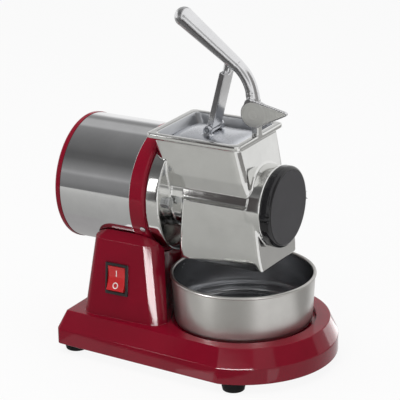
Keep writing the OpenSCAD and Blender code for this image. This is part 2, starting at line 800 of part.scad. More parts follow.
module motor_front_shield() {
    color([0.5, 0.06, 0.1]) difference() {
        union() {
            along_axis(shell_front_x)
                rounded_disc(shield_r, shield_length - register_height, shield_round);
            along_axis(shell_front_x) cylinder(d = register_d, h = shield_length);
            along_axis(shell_front_x - spigot_length) cylinder(r = spigot_r, h = spigot_length + cut);
        }
        difference() {
            along_axis(shell_front_x - spigot_length - cut)
                cylinder(r = spigot_r - spigot_wall,
                    h = spigot_length + shield_length - shield_wall + cut);
            along_axis(front_bearing_x)
                cylinder(r = bearing_d / 2 + bearing_wall, h = shield_length);
        }
        along_axis(front_bearing_x - cut) cylinder(d = bearing_d + 2 * fit_gap, h = bearing_w + cut);
        along_axis(front_bearing_x) cylinder(r = shaft_hole_r, h = shield_length + cut);
        along_axis(shell_front_x - spigot_length - cut)
            ring_of(tie_rod_count, tie_rod_r, tie_rod_turn)
                cylinder(d = tie_rod_d + 2 * fit_gap, h = spigot_length + shield_wall / 2 + cut);
        along_axis(motor_face_x - shield_wall / 2)
            ring_of(head_stud_count, stud_span / 2, 90)
                cylinder(d = head_stud_d + 2 * fit_gap, h = shield_wall);
        at_motor_screws() translate([0, 0, axis_height - saddle_r - cut])
            cylinder(d = motor_screw_d + 2 * fit_gap, h = 3 * motor_screw_d);
        at_ring_screws() {
            translate([0, 0, shield_r - ring_screw_depth])
                cylinder(d = ring_screw_d + 2 * fit_gap, h = ring_screw_depth);
            translate([0, 0, ring_screw_seat_r])
                cylinder(d = ring_screw_head_d + 2 * clear_gap, h = ring_screw_d);
        }
        hopper_outside(2 * clear_gap);
    }
}

// A level of a tapered box, grown by a gap all round
function grown(level, gap) = [level[0] - gap, level[1] + gap, level[2] + gap, level[3],
    level[4] + gap];

// Outside of the hopper, grown by a gap
module hopper_outside(gap = 0) {
    hull() {
        corner_slices(grown(hopper_low, gap));
        corner_slices(grown(hopper_fold, gap));
        corner_slices(grown(hopper_top, gap));
    }
}

module motor_rear_cover() {
    color([0.5, 0.06, 0.1]) difference() {
        union() {
            along_axis(shell_rear_x) rotate([0, 180, 0])
                rounded_disc(shield_r, cover_depth, cover_round);
            along_axis(shell_rear_x - slice) cylinder(r = spigot_r, h = spigot_length);
        }
        difference() {
            along_axis(cover_inner_x) cylinder(r = spigot_r - spigot_wall, h = shell_length / 2);
            along_axis(cover_inner_x - cut)
                cylinder(r = bearing_d / 2 + bearing_wall, h = bearing_w + cut);
        }
        along_axis(cover_inner_x) cylinder(d = bearing_d + 2 * fit_gap, h = shell_length / 2);
        along_axis(cover_rear_x - cut) ring_of(tie_rod_count, tie_rod_r, tie_rod_turn) {
            cylinder(d = tie_rod_d + 2 * fit_gap, h = shell_length / 2);
            cylinder(d = screw_head_ratio * tie_rod_d + 2 * fit_gap, h = cut + tie_rod_d / 2);
        }
    }
}

module tie_rods() {
    rod_front_x = shell_front_x + shield_wall / 2 - cut;
    color([0.72, 0.73, 0.75]) along_axis(cover_rear_x) ring_of(tie_rod_count, tie_rod_r, tie_rod_turn) {
        cylinder(d = screw_head_ratio * tie_rod_d, h = tie_rod_d / 2);
        cylinder(d = tie_rod_d, h = rod_front_x - cover_rear_x);
    }
}

module ring_screws() {
    color([0.75, 0.76, 0.78]) at_ring_screws() {
        translate([0, 0, shield_r - ring_screw_depth + cut])
            cylinder(d = ring_screw_d, h = ring_screw_depth - cut);
        translate([0, 0, ring_screw_seat_r]) cylinder(d = ring_screw_head_d, h = ring_screw_d / 2);
    }
}

module motor_screws() {
    color([0.72, 0.73, 0.75]) at_motor_screws() {
        translate([0, 0, cavity_roof])
            cylinder(d = motor_screw_d, h = motor_screw_length);
        translate([0, 0, cavity_roof - motor_screw_d / 2])
            cylinder(d = motor_head_ratio * motor_screw_d, h = motor_screw_d / 2, $fn = hex_fn);
    }
}

module stator_core() {
    color([0.45, 0.46, 0.48]) along_axis(stack_rear_x) difference() {
        cylinder(r = spigot_r, h = stack_length);
        translate([0, 0, -cut]) cylinder(r = rotor_d / 2 + air_gap, h = stack_length + 2 * cut);
        translate([0, 0, -cut]) ring_of(tie_rod_count, tie_rod_r, tie_rod_turn)
            cylinder(r = tie_rod_d / 2 + clear_gap, h = stack_length + 2 * cut);
    }
}

module stator_windings() {
    color([0.72, 0.4, 0.16]) for (x = [stack_rear_x - winding_length, stack_front_x])
        along_axis(x) difference() {
            cylinder(r = spigot_r - spigot_wall - cut, h = winding_length);
            translate([0, 0, -cut])
                cylinder(r = rotor_d / 2 + air_gap + cut, h = winding_length + 2 * cut);
        }
}

module rotor_core() {
    color([0.6, 0.61, 0.63]) along_axis(stack_rear_x) difference() {
        cylinder(d = rotor_d, h = stack_length);
        translate([0, 0, -cut]) cylinder(d = shaft_d + 2 * fit_gap, h = stack_length + 2 * cut);
    }
}

module motor_shaft() {
    shaft_end_x = roller_rear_x + roller_hub - cut;
    color([0.8, 0.81, 0.82]) difference() {
        along_axis(cover_inner_x + clear_gap)
            cylinder(d = shaft_d, h = shaft_end_x - cover_inner_x - clear_gap);
        across(roller_rear_x + roller_hub / 2, axis_height)
            cylinder(d = drive_pin_d + 2 * fit_gap, h = 2 * shaft_d, center = true);
    }
}

// Bearing with its rings and a race groove on each side
module bearing(x) {
    middle_r = (bearing_d + shaft_d) / 4;
    color([0.7, 0.71, 0.73]) along_axis(x) difference() {
        cylinder(d = bearing_d, h = bearing_w);
        translate([0, 0, -cut]) cylinder(d = shaft_d + 2 * fit_gap, h = bearing_w + 2 * cut);
        for (z = [-slice, bearing_w - cut])
            translate([0, 0, z]) difference() {
                cylinder(r = middle_r + race_width / 2, h = cut + slice);
                translate([0, 0, -cut]) cylinder(r = middle_r - race_width / 2, h = 3 * cut);
            }
    }
}

module front_bearing() {
    bearing(front_bearing_x);
}

module rear_bearing() {
    bearing(cover_inner_x);
}

module shaft_seal() {
    color([0.1, 0.1, 0.1]) along_axis(chamber_rear_x - seal_w) difference() {
        cylinder(d = seal_d, h = seal_w);
        translate([0, 0, -cut]) cylinder(d = shaft_d + 2 * fit_gap, h = seal_w + 2 * cut);
    }
}

module capacitor() {
    color([0.85, 0.85, 0.83]) translate([capacitor_x, 0, capacitor_z]) rotate([0, 90, 0])
        cylinder(d = capacitor_d, h = capacitor_length);
}

module capacitor_clip() {
    outer_d = capacitor_d + 2 * plate_t + 2 * fit_gap;
    color([0.7, 0.71, 0.72]) translate([capacitor_x + capacitor_length / 2 - clip_width / 2, 0, 0])
        difference() {
            union() {
                translate([0, 0, capacitor_z]) rotate([0, 90, 0]) cylinder(d = outer_d, h = clip_width);
                translate([0, -outer_d / 2 - clip_width / 2, plate_top])
                    cube([clip_width, outer_d + clip_width, plate_t]);
            }
            translate([-cut, 0, capacitor_z]) rotate([0, 90, 0])
                cylinder(d = capacitor_d + 2 * fit_gap, h = clip_width + 2 * cut);
            translate([-cut, -outer_d, plate_top - outer_d])
                cube([clip_width + 2 * cut, 2 * outer_d, outer_d]);
        }
}

module terminal_block() {
    pitch = terminal_length / terminal_count;
    color([0.9, 0.89, 0.85])
        translate([capacitor_x, capacitor_d / 2 + clip_width + cut, plate_top]) difference() {
            cube([terminal_length, terminal_width, terminal_height]);
            for (i = [0 : terminal_count - 1]) translate([i * pitch + pitch / 2, terminal_width / 2, 0]) {
                translate([0, 0, terminal_height / 2]) cylinder(d = pitch / 2, h = terminal_height);
                translate([0, 0, terminal_height / 3])
                    rotate([90, 0, 0]) cylinder(d = pitch / 3, h = 2 * terminal_width, center = true);
            }
        }
}

module grating_head() {
    color([0.8, 0.8, 0.8]) difference() {
        union() {
            along_axis(ring_front_x) cylinder(d = neck_d, h = neck_length + register_height);
            along_axis(motor_face_x)
                cylinder(r = chamber_r + chamber_wall, h = collar_front_x - motor_face_x);
            along_axis(hopper_low[1] - chamber_wall)
                cylinder(d = collar_d, h = collar_front_x - hopper_low[1] + chamber_wall);
            hopper_outside();
            hopper_lip();
            tapered_box(chute_low, chute_top);
            hinge_lug();
        }
        along_axis(chamber_rear_x)
            cylinder(r = chamber_r, h = collar_front_x - chamber_rear_x + cut);
        tapered_box(hopper_in_low, hopper_in_top);
        tapered_box(chute_in_low, chute_in_top);
        along_axis(motor_face_x - cut)
            cylinder(r = shaft_hole_r, h = chamber_rear_x - motor_face_x + 2 * cut);
        along_axis(ring_front_x - cut)
            cylinder(d = register_d + 2 * fit_gap, h = cut + register_height + fit_gap);
        along_axis(chamber_rear_x - seal_w) cylinder(d = seal_d + 2 * fit_gap, h = seal_w + cut);
        along_axis(motor_face_x - cut) ring_of(head_stud_count, stud_span / 2, 90)
            cylinder(d = head_stud_d + 2 * fit_gap, h = neck_length + 2 * cut);
        bayonet_slots();
        at_pivot() cylinder(d = lever_pin_d + 2 * fit_gap, h = 2 * lug_width, center = true);
    }
}

// Flat lip with rounded corners round the hopper's rim
module hopper_lip() {
    length = hopper_length + 2 * lip_end;
    width = hopper_width + 2 * lip_side;
    radius = lip_corner_r;
    translate([mouth_middle_x, 0, lip_z]) {
        centred_box(length - 2 * radius, width, lip_height);
        centred_box(length, width - 2 * radius, lip_height);
        for (x = [-1, 1], y = [-1, 1])
            translate([x * (length / 2 - radius), y * (width / 2 - radius), 0])
                cylinder(r = radius, h = lip_height);
    }
}

module hinge_lug() {
    at_pivot() cylinder(r = lug_r, h = lug_width, center = true);
    translate([pivot_x - lug_r / 2, -fork_shift - lug_width / 2, lip_z])
        cube([lug_r / 2 + pivot_back, lug_width, pivot_z - lip_z]);
}

// Slots in the collar that the cap's bayonet pins enter and turn in
module bayonet_slots() {
    slot_d = bayonet_d + 2 * clear_gap;
    depth = bayonet_reach + clear_gap;
    end_turn = asin(slot_d / chamber_r);
    along_axis(collar_front_x - plug_length / 2 - slot_d / 2) for (turn = [0, 180]) {
        rotate([0, 0, turn - end_turn]) rotate_extrude(angle = cap_twist + 2 * end_turn)
            translate([chamber_r - cut, 0]) square([depth + cut, slot_d]);
        rotate([0, 0, turn + cap_twist]) translate([chamber_r - 2 * cut, -slot_d / 2, slot_d / 2])
            cube([depth + 2 * cut - fit_gap, slot_d, plug_length]);
    }
}

module head_studs() {
    stud_rear_x = motor_face_x - shield_wall / 2 + cut;
    color([0.75, 0.76, 0.78]) along_axis(stud_rear_x) ring_of(head_stud_count, stud_span / 2, 90)
        cylinder(d = head_stud_d, h = neck_front_x + head_nut_h - stud_rear_x);
}

module head_nuts() {
    color([0.8, 0.81, 0.83]) along_axis(neck_front_x) ring_of(head_stud_count, stud_span / 2, 90)
        difference() {
            cylinder(d = head_nut_ratio * head_stud_d, h = head_nut_h, $fn = hex_fn);
            translate([0, 0, -cut])
                cylinder(d = head_stud_d + 2 * fit_gap, h = head_nut_h + 2 * cut);
        }
}

module roller_drum() {
    color([0.75, 0.76, 0.77]) along_axis(roller_rear_x) difference() {
        cylinder(d = roller_d, h = roller_length);
        translate([0, 0, -cut]) cylinder(r = roller_d / 2 - drum_wall, h = roller_length + 2 * cut);
    }
}

// Hub that fills one end of the drum
module roller_hub_at(x, bore) {
    along_axis(x) difference() {
        cylinder(r = roller_d / 2 - drum_wall - fit_gap, h = roller_hub);
        translate([0, 0, -cut]) cylinder(d = bore + 2 * fit_gap, h = roller_hub + 2 * cut);
    }
}

module roller_rear_hub() {
    color([0.85, 0.85, 0.83]) difference() {
        roller_hub_at(roller_rear_x, shaft_d);
        across(roller_rear_x + roller_hub / 2, axis_height)
            cylinder(d = drive_pin_d + 2 * fit_gap, h = drive_pin_length + 2 * cut, center = true);
    }
}

module roller_front_hub() {
    color([0.85, 0.85, 0.83]) roller_hub_at(roller_front_x - roller_hub, cap_pin_d);
}

module drive_pin() {
    color([0.7, 0.71, 0.73]) across(roller_rear_x + roller_hub / 2, axis_height)
        cylinder(d = drive_pin_d, h = drive_pin_length, center = true);
}

module front_cap() {
    pin_x = collar_front_x - plug_length - cap_pin_length;
    ear_x = collar_front_x + clear_gap;
    color([0.16, 0.16, 0.17]) {
        along_axis(ear_x) rounded_disc(cap_d / 2, cap_t, cap_round);
        along_axis(collar_front_x - plug_length)
            cylinder(r = chamber_r - clear_gap, h = plug_length + 2 * clear_gap);
        along_axis(pin_x) cylinder(d = cap_pin_d, h = cap_pin_length + cut);
        for (side = [-1, 1])
            translate([ear_x, side * (cap_d / 2 - ear_width / 2 + ear_proud), axis_height])
                rotate([0, 90, 0]) cylinder(d = ear_width, h = cap_t - cap_round / 2);
        for (side = [-1, 1]) translate([collar_front_x - plug_length / 2, 0, axis_height])
            rotate([0, side * 90 + 90, 0]) translate([0, 0, chamber_r / 2])
                cylinder(d = bayonet_d, h = chamber_r / 2 + bayonet_reach);
    }
}

// Plan of the fork: a round end with a pointed nose, drawn in by an inset
module fork_plan(inset = 0) {
    nose_x = nose_length - nose_tip_r;
    round_r = fork_r - inset;
    tip_r = nose_tip_r - inset;
    flank = acos((fork_r - nose_tip_r) / nose_x);
    along = [cos(flank), sin(flank)];
    below = [cos(flank), -sin(flank)];
    tip = [nose_x, 0];
    circle(r = round_r);
    rotate([0, 0, nose_angle]) {
        translate(tip) circle(r = tip_r);
        polygon([round_r * along, tip + tip_r * along, tip + tip_r * below, round_r * below]);
    }
}

// Space between the cheeks that clears the lug over the whole swing
module fork_slot() {
    reach = 2 * nose_length;
    circle(r = lug_r + 2 * clear_gap);
    polygon([[0, lug_r / 3], reach * [cos(nose_angle), sin(nose_angle)], [reach, -reach],
        [-lug_r / 2 - 2 * clear_gap, -reach], [-lug_r / 2 - 2 * clear_gap, 0]]);
}

module lever() {
    leg_lean = atan2(leg_top_x - presser_pin_x, leg_top_z - presser_pin_z);
    leg_length = norm([leg_top_x - presser_pin_x, leg_top_z - presser_pin_z]);
    color([0.82, 0.82, 0.82]) difference() {
        union() {
            at_pivot() {
                translate([0, 0, fork_width / 2 - cheek_t]) linear_extrude(cheek_t) fork_plan();
                cylinder(r = far_cheek_r, h = fork_width, center = true);
                translate([arm_foot_x - pivot_x, arm_foot_z - pivot_z, 0])
                    cylinder(d = bridge_d, h = fork_width, center = true);
            }
            translate([arm_foot_x, 0, arm_foot_z]) rotate([0, 90 - arm_angle, 0])
                cylinder(d1 = fork_r, d2 = arm_d + 2 * arm_step, h = arm_rise + cut);
            across(bend_x, bend_z) rotate([0, 0, arm_angle - 90])
                rotate_extrude(angle = bend_angle) translate([bend_r, 0]) circle(d = arm_d);
            translate([grip_start_x, 0, grip_start_z]) rotate([0, 90 - grip_angle, 0]) {
                translate([0, 0, -cut])
                    cylinder(d1 = arm_d + 2 * arm_step, d2 = grip_d, h = grip_length);
                translate([0, 0, grip_length - cut]) sphere(d = grip_d + arm_step);
            }
            translate([presser_pin_x, 0, presser_pin_z]) rotate([0, leg_lean, 0]) {
                translate([-leg_t / 2, -leg_width / 2, 0])
                    cube([leg_t, leg_width, leg_length - leg_neck_d]);
                translate([0, 0, leg_length - leg_neck_d - cut])
                    cylinder(d = leg_neck_d, h = leg_neck_d + arm_d / 2);
            }
            across(presser_pin_x, presser_pin_z)
                cylinder(d = leg_foot_d, h = leg_width, center = true);
        }
        at_pivot() linear_extrude(cheek_gap, center = true) fork_slot();
        at_pivot() cylinder(d = lever_pin_d + 2 * fit_gap, h = 2 * fork_width, center = true);
        across(presser_pin_x, presser_pin_z)
            cylinder(d = presser_pin_d + 2 * fit_gap, h = 2 * leg_width, center = true);
    }
}

module lever_pin() {
    color([0.75, 0.76, 0.78]) at_pivot()
        cylinder(d = lever_pin_d, h = fork_width - 2 * clear_gap, center = true);
}

module cheek_plates() {
    color([0.84, 0.84, 0.83]) at_pivot() {
        translate([0, 0, fork_width / 2]) linear_extrude(cheek_plate_t) fork_plan(cheek_plate_inset);
        translate([0, 0, -fork_width / 2 - cheek_plate_t])
            cylinder(r = far_cheek_r - cheek_plate_inset, h = cheek_plate_t);
    }
}

module presser() {
    half = presser_width / 2;
    crown_r = (half * half + presser_crown * presser_crown) / (2 * presser_crown);
    under_z = presser_top - presser_depth;
    lug_y = leg_width / 2 + clear_gap;
    color([0.8, 0.8, 0.81]) difference() {
        union() {
            intersection() {
                tapered_box([presser_rear_x + presser_heel, presser_front_x + presser_toe,
                    presser_under_width / 2, under_z, hopper_corner_r - hopper_wall],
                    [presser_rear_x, presser_front_x, half, presser_top,
                    hopper_corner_r - hopper_wall]);
                translate([presser_rear_x - cut, 0, presser_top - crown_r]) rotate([0, 90, 0])
                    cylinder(r = crown_r, h = presser_length + presser_heel, $fn = 360);
            }
            for (side = [-1, 1]) translate([presser_pin_x, side * (lug_y + presser_lug_w / 2), 0]) {
                translate([0, 0, presser_pin_z]) rotate([90, 0, 0])
                    cylinder(d = presser_lug_d, h = presser_lug_w, center = true);
                centred_box(presser_lug_d, presser_lug_w, 2 * presser_pin_rise,
                    presser_pin_z - 2 * presser_pin_rise);
            }
        }
        across(presser_pin_x, presser_pin_z)
            cylinder(d = presser_pin_d + 2 * fit_gap, h = 2 * leg_width, center = true);
    }
}

module presser_pin() {
    color([0.72, 0.73, 0.75]) across(presser_pin_x, presser_pin_z) cylinder(d = presser_pin_d,
        h = leg_width + 2 * clear_gap + 2 * presser_lug_w, center = true);
}

module bowl() {
    wall_r = bowl_foot_d / 2;
    top = bowl_height - roll_r;
    step_r = bowl_step_d / 2;
    color([0.78, 0.78, 0.78]) translate([bowl_x, 0, bowl_z]) {
        rotate_extrude() difference() {
            union() {
                polygon([[wall_r - bowl_foot_r, 0], [wall_r, bowl_foot_r], [bowl_rim_r, top],
                    [bowl_rim_r - bowl_t, top], [wall_r - bowl_t, bowl_foot_r],
                    [wall_r - bowl_foot_r, bowl_t]]);
                translate([wall_r - bowl_foot_r, bowl_foot_r]) circle(r = bowl_foot_r);
            }
            translate([wall_r - bowl_foot_r, bowl_foot_r]) circle(r = bowl_foot_r - bowl_t);
            translate([wall_r - 3 * bowl_foot_r, bowl_t])
                square([2 * bowl_foot_r, 2 * bowl_foot_r]);
        }
        rotate_extrude() translate([bowl_rim_r - bowl_t / 2, top]) circle(r = roll_r);
        rotate_extrude() polygon([[0, bowl_step - bowl_t], [step_r - bowl_step, bowl_step - bowl_t],
            [step_r, 0], [wall_r - bowl_foot_r, 0], [wall_r - bowl_foot_r, bowl_t],
            [step_r + bowl_t / 2, bowl_t], [step_r - bowl_step + bowl_t / 2, bowl_step],
            [0, bowl_step]]);
    }
}

base_casting();
bottom_plate();
rubber_feet();
foot_screws();
switch_frame();
switch_rocker();
cable_gland();
gland_nut();
motor_shell();
motor_front_shield();
motor_rear_cover();
tie_rods();
ring_screws();
motor_screws();
stator_core();
stator_windings();
rotor_core();
motor_shaft();
front_bearing();
rear_bearing();
shaft_seal();
capacitor();
capacitor_clip();
terminal_block();
grating_head();
head_studs();
head_nuts();
roller_drum();
roller_rear_hub();
roller_front_hub();
drive_pin();
front_cap();
lever();
lever_pin();
cheek_plates();
presser();
presser_pin();
bowl();
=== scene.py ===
import json
import math
from functools import cache

import bmesh
import bpy
from bpy.props import FloatProperty, FloatVectorProperty, IntProperty, PointerProperty
from bpy.types import Operator, Panel, PropertyGroup
from mathutils import Matrix, Vector
from mathutils.bvhtree import BVHTree


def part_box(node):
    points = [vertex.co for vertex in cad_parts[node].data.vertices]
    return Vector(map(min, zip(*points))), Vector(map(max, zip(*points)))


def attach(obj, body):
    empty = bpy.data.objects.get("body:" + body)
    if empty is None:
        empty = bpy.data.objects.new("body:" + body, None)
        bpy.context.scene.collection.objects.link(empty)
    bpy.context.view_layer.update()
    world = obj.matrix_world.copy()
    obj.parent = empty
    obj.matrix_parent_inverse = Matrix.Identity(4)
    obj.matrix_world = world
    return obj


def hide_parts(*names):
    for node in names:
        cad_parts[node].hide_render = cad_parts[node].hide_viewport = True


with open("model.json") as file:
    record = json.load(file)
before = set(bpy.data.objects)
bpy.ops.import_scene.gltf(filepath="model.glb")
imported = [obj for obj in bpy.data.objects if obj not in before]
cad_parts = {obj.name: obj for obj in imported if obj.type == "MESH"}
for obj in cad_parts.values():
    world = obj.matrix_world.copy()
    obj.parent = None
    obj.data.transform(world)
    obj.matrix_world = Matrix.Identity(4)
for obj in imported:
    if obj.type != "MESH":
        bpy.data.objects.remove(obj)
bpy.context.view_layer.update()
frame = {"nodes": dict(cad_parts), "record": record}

bl_info = {
    "name": "Electric grater",
    "version": (1, 0, 0),
    "blender": (4, 5, 0),
    "location": "View3D > Sidebar > Grater",
    "description": "Dresses the solids of an electric grater with rounded edges and finishes",
    "category": "Object",
}


def middle_of(node):
    low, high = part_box(node)
    return [(a + b) / 2 for a, b in zip(low, high)]


def half_of(node):
    """Half the size of a node along each axis."""
    low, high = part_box(node)
    return [(b - a) / 2 for a, b in zip(low, high)]


MM = 0.001
WHITE = (1.0, 1.0, 1.0)
AXIS_HEIGHT = middle_of("motor_shell")[2]
MOTOR_AXIS = (0.0, 0.0, AXIS_HEIGHT)


def length(name, description, default):
    return FloatProperty(name=name, description=description, default=default, min=0.0,
                         subtype="DISTANCE", unit="LENGTH")


def tint(name, description, default):
    return FloatVectorProperty(name=name, description=description, default=default, size=3,
                               subtype="COLOR", min=0.0, max=1.0)


def view_angle(name, description, degrees):
    return FloatProperty(name=name, description=description, default=math.radians(degrees),
                         subtype="ANGLE", unit="ROTATION")


def power(name, description, default):
    return FloatProperty(name=name, description=description, default=default, min=0.0,
                         unit="POWER")


class GraterColours(PropertyGroup):
    enamel: tint("Red enamel", "Glossy stoved paint of the castings", (0.215, 0.004, 0.017))
    shell: tint("Motor shell", "Mirror polished steel tube", (0.74, 0.74, 0.75))
    casting: tint("Cast aluminium", "Polished casting of the head", (0.75, 0.75, 0.735))
    bowl: tint("Bowl", "Brushed steel of the bowl", (0.52, 0.51, 0.49))
    bowl_inner: tint("Bowl inside", "Smoother inside of the bowl", (0.5, 0.505, 0.52))
    fastener: tint("Fasteners", "Zinc plated steel", (0.6, 0.61, 0.62))
    lever: tint("Lever", "Polished aluminium of the lever", (0.76, 0.76, 0.77))
    # Darker than the casting as painted shade inside the hopper; only its roughness is the
    # unpolished finish
    inside: tint("Hopper inside", "Unpolished aluminium inside the hopper", (0.5, 0.51, 0.53))
    presser: tint("Presser", "Satin aluminium of the presser", (0.6, 0.615, 0.65))
    plate: tint("Cheek plate", "Satin turned plate on the lever", (0.9, 0.9, 0.87))
    rubber: tint("Rubber", "Feet and seal", (0.006, 0.006, 0.0065))
    cap: tint("Front cap", "Satin black plastic", (0.05, 0.049, 0.055))
    frame_plastic: tint("Switch frame", "Black plastic of the switch and inlet",
                        (0.014, 0.014, 0.015))
    lens: tint("Rocker", "Clear red plastic of the rocker", (0.5, 0.012, 0.016))
    mark: tint("Switch marks", "Printed marks on the rocker", (0.9, 0.82, 0.8))
    core: tint("Core", "Laminated steel in the motor", (0.22, 0.22, 0.23))
    copper: tint("Winding", "Varnished copper wire", (0.55, 0.22, 0.07))
    nylon: tint("Terminal block", "Pale plastic of the electrics", (0.72, 0.7, 0.64))
    floor: tint("Floor", "Pale paper that the grater stands on", (0.86, 0.86, 0.86))


class GraterSizes(PropertyGroup):
    base_edge: length("Base edges", "Rounding of the base casting's edges", 0.8 * MM)
    cap_edge: length("Cap edges", "Rounding of the front cap's edges", 1.6 * MM)
    small_edge: length("Small edges", "Rounding of small pieces", 0.5 * MM)
    mark_height: length("Mark height", "Height of the marks on the rocker", 6.0 * MM)
    mark_width: length("Mark width", "Width of the lines of the marks", 0.9 * MM)
    presser_fall: length("Presser fall", "Fall of the presser's top at its edges", 4.5 * MM)
    chute_curl: length("Chute curl", "Inward turn of the chute's lower end", 3.2 * MM)
    tooth_height: length("Tooth height", "Height of a grating tooth", 0.9 * MM)
    tooth_width: length("Tooth width", "Width of a grating tooth", 2.2 * MM)
    tooth_rows: IntProperty(name="Tooth rows", description="Teeth in one turn of the roller",
                            default=30, min=6, max=60)
    tooth_columns: IntProperty(name="Tooth columns", description="Teeth along the roller",
                               default=17, min=4, max=40)


class GraterStage(PropertyGroup):
    azimuth: view_angle("Azimuth", "Turn of the camera from the near side", 29.946)
    elevation: view_angle("Elevation", "Height of the camera as an angle", 19.444)
    roll: view_angle("Roll", "Turn of the camera about its own line of sight", -0.913)
    distance: length("Distance", "From the camera to the point it looks at", 1.994)
    aim: FloatVectorProperty(name="Aim", description="Point that the camera looks at", size=3,
                             default=(-0.00411, -0.00342, 0.15511), subtype="XYZ", unit="LENGTH")
    lens: FloatProperty(name="Lens", description="Focal length in millimetres", default=185.48,
                        min=10.0, unit="CAMERA")
    top_lamp: power("Top lamp", "Power of the lamp overhead", 15.0)
    front_lamp: power("Front lamp", "Power of the lamp beside the camera", 9.0)


# Shader helpers

def open_group(name, outputs, **inputs):
    """A new shader node group: its tree, what it is given and what it gives."""
    tree = bpy.data.node_groups.new(name, "ShaderNodeTree")
    for key, default in inputs.items():
        kind = "Color" if "Colour" in key else "Vector" if isinstance(default, tuple) else "Float"
        socket = tree.interface.new_socket(name=key.replace("_", " "), in_out="INPUT",
                                           socket_type="NodeSocket" + kind)
        socket.default_value = default
    for label in outputs:
        kind = "Color" if "Colour" in label else "Float"
        tree.interface.new_socket(name=label, in_out="OUTPUT", socket_type="NodeSocket" + kind)
    return tree, tree.nodes.new("NodeGroupInput").outputs, tree.nodes.new("NodeGroupOutput").inputs


def add(tree, kind, links=None, **values):
    """A node with the given properties, its inputs set from links by name or number."""
    node = tree.nodes.new(kind)
    for key, value in values.items():
        setattr(node, key, value)
    for key, source in (links or {}).items():
        if isinstance(source, bpy.types.NodeSocket):
            tree.links.new(source, node.inputs[key])
        else:
            node.inputs[key].default_value = source
    return node


def object_point(tree):
    return add(tree, "ShaderNodeTexCoord").outputs["Object"]


def noise(tree, point, scale, detail=2.0, rough=0.5):
    return add(tree, "ShaderNodeTexNoise", {"Vector": point, "Scale": scale, "Detail": detail,
                                            "Roughness": rough}).outputs["Fac"]


def span(tree, value, low, high, low_out=0.0, high_out=1.0):
    return add(tree, "ShaderNodeMapRange", {0: value, 1: low, 2: high, 3: low_out,
                                            4: high_out}).outputs[0]


def calc(tree, operation, first, second):
    return add(tree, "ShaderNodeMath", {0: first, 1: second}, operation=operation).outputs[0]


def vector_calc(tree, operation, first, second):
    return add(tree, "ShaderNodeVectorMath", {0: first, 1: second}, operation=operation).outputs[0]


def mix_colour(tree, share, first, second):
    """Blend of two colours; the Mix node's sockets for colours are found by number."""
    return add(tree, "ShaderNodeMix", {0: share, 6: first, 7: second}, data_type="RGBA").outputs[2]


def mottle_group():
    """Soft change of colour from place to place, and of roughness with it."""
    tree, given, gives = open_group(
        "mottle", ("Colour", "Roughness"), Colour=(0.5, 0.5, 0.5, 1.0),
        Other_Colour=(0.4, 0.4, 0.4, 1.0), Scale=40.0, Low_Roughness=0.2, High_Roughness=0.3)
    cloud = noise(tree, object_point(tree), given["Scale"], detail=4.0, rough=0.6)
    mask = span(tree, cloud, low=0.35, high=0.65)
    colour = mix_colour(tree, mask, given["Colour"], given["Other Colour"])
    rough = span(tree, cloud, low=0.3, high=0.7, low_out=given["Low Roughness"],
                 high_out=given["High Roughness"])
    tree.links.new(colour, gives["Colour"])
    tree.links.new(rough, gives["Roughness"])
    return tree


def grain_group():
    """Height of a fine grain, such as paint skin or moulded plastic."""
    tree, given, gives = open_group("grain", ("Height",), Scale=400.0, Coarse_Scale=60.0,
                                    Coarse_Share=0.3)
    point = object_point(tree)
    fine = noise(tree, point, given["Scale"], detail=2.0)
    coarse = noise(tree, point, given["Coarse Scale"], detail=1.0)
    mixed = add(tree, "ShaderNodeMix", {0: given["Coarse Share"], 2: fine, 3: coarse})
    tree.links.new(mixed.outputs[0], gives["Height"])
    return tree


def brushed_group():
    """Long fine marks of a polishing belt, drawn out along one direction."""
    tree, given, gives = open_group("brushed", ("Height",), Stretch=(1.0, 1.0, 1.0), Scale=300.0)
    point = vector_calc(tree, "MULTIPLY", object_point(tree), given["Stretch"])
    lines = noise(tree, point, given["Scale"], detail=3.0, rough=0.7)
    tree.links.new(lines, gives["Height"])
    return tree


def rings_group():
    """Turned marks: fine circles about an axis through a centre."""
    tree, given, gives = open_group("rings", ("Height", "Radius"), Centre=(0.0, 0.0, 0.0),
                                    Across_Axis=(1.0, 1.0, 0.0), Pitch=2000.0)
    away = vector_calc(tree, "SUBTRACT", object_point(tree), given["Centre"])
    flat_way = vector_calc(tree, "MULTIPLY", away, given["Across Axis"])
    radius = add(tree, "ShaderNodeVectorMath", {0: flat_way}, operation="LENGTH").outputs["Value"]
    along = add(tree, "ShaderNodeCombineXYZ", {0: radius}).outputs[0]
    height = noise(tree, along, given["Pitch"], detail=2.0, rough=0.6)
    tree.links.new(height, gives["Height"])
    tree.links.new(radius, gives["Radius"])
    return tree


def smudge_group():
    """Roughness of a polished face, dulled in places by hands and dust."""
    tree, given, gives = open_group("smudge", ("Roughness",), Scale=25.0, Roughness=0.1,
                                    Dull_Roughness=0.25)
    broad = noise(tree, object_point(tree), given["Scale"], detail=5.0, rough=0.65)
    mask = span(tree, broad, low=0.48, high=0.72)
    rough = span(tree, mask, low=0.0, high=1.0, low_out=given["Roughness"],
                 high_out=given["Dull Roughness"])
    tree.links.new(rough, gives["Roughness"])
    return tree


GROUP_MAKERS = {"mottle": mottle_group, "grain": grain_group, "brushed": brushed_group,
                "rings": rings_group, "smudge": smudge_group}


@cache
def group(name):
    """The named node group, made the first time that it is asked for."""
    return GROUP_MAKERS[name]()


def placed(tree, name, **values):
    """A node group in a material, with its own values."""
    node = tree.nodes.new("ShaderNodeGroup")
    node.node_tree = group(name)
    for key, value in values.items():
        label = key.replace("_", " ")
        node.inputs[label].default_value = (*value, 1.0) if "Colour" in label else value
    return node


def shader(name, **constants):
    """A material and its Principled shader, with the values that are the same all over."""
    material = bpy.data.materials.new(name)
    material.use_nodes = True
    surface = material.node_tree.nodes["Principled BSDF"]
    for key, value in constants.items():
        surface.inputs[key.replace("_", " ")].default_value = value
    return material, material.node_tree, surface


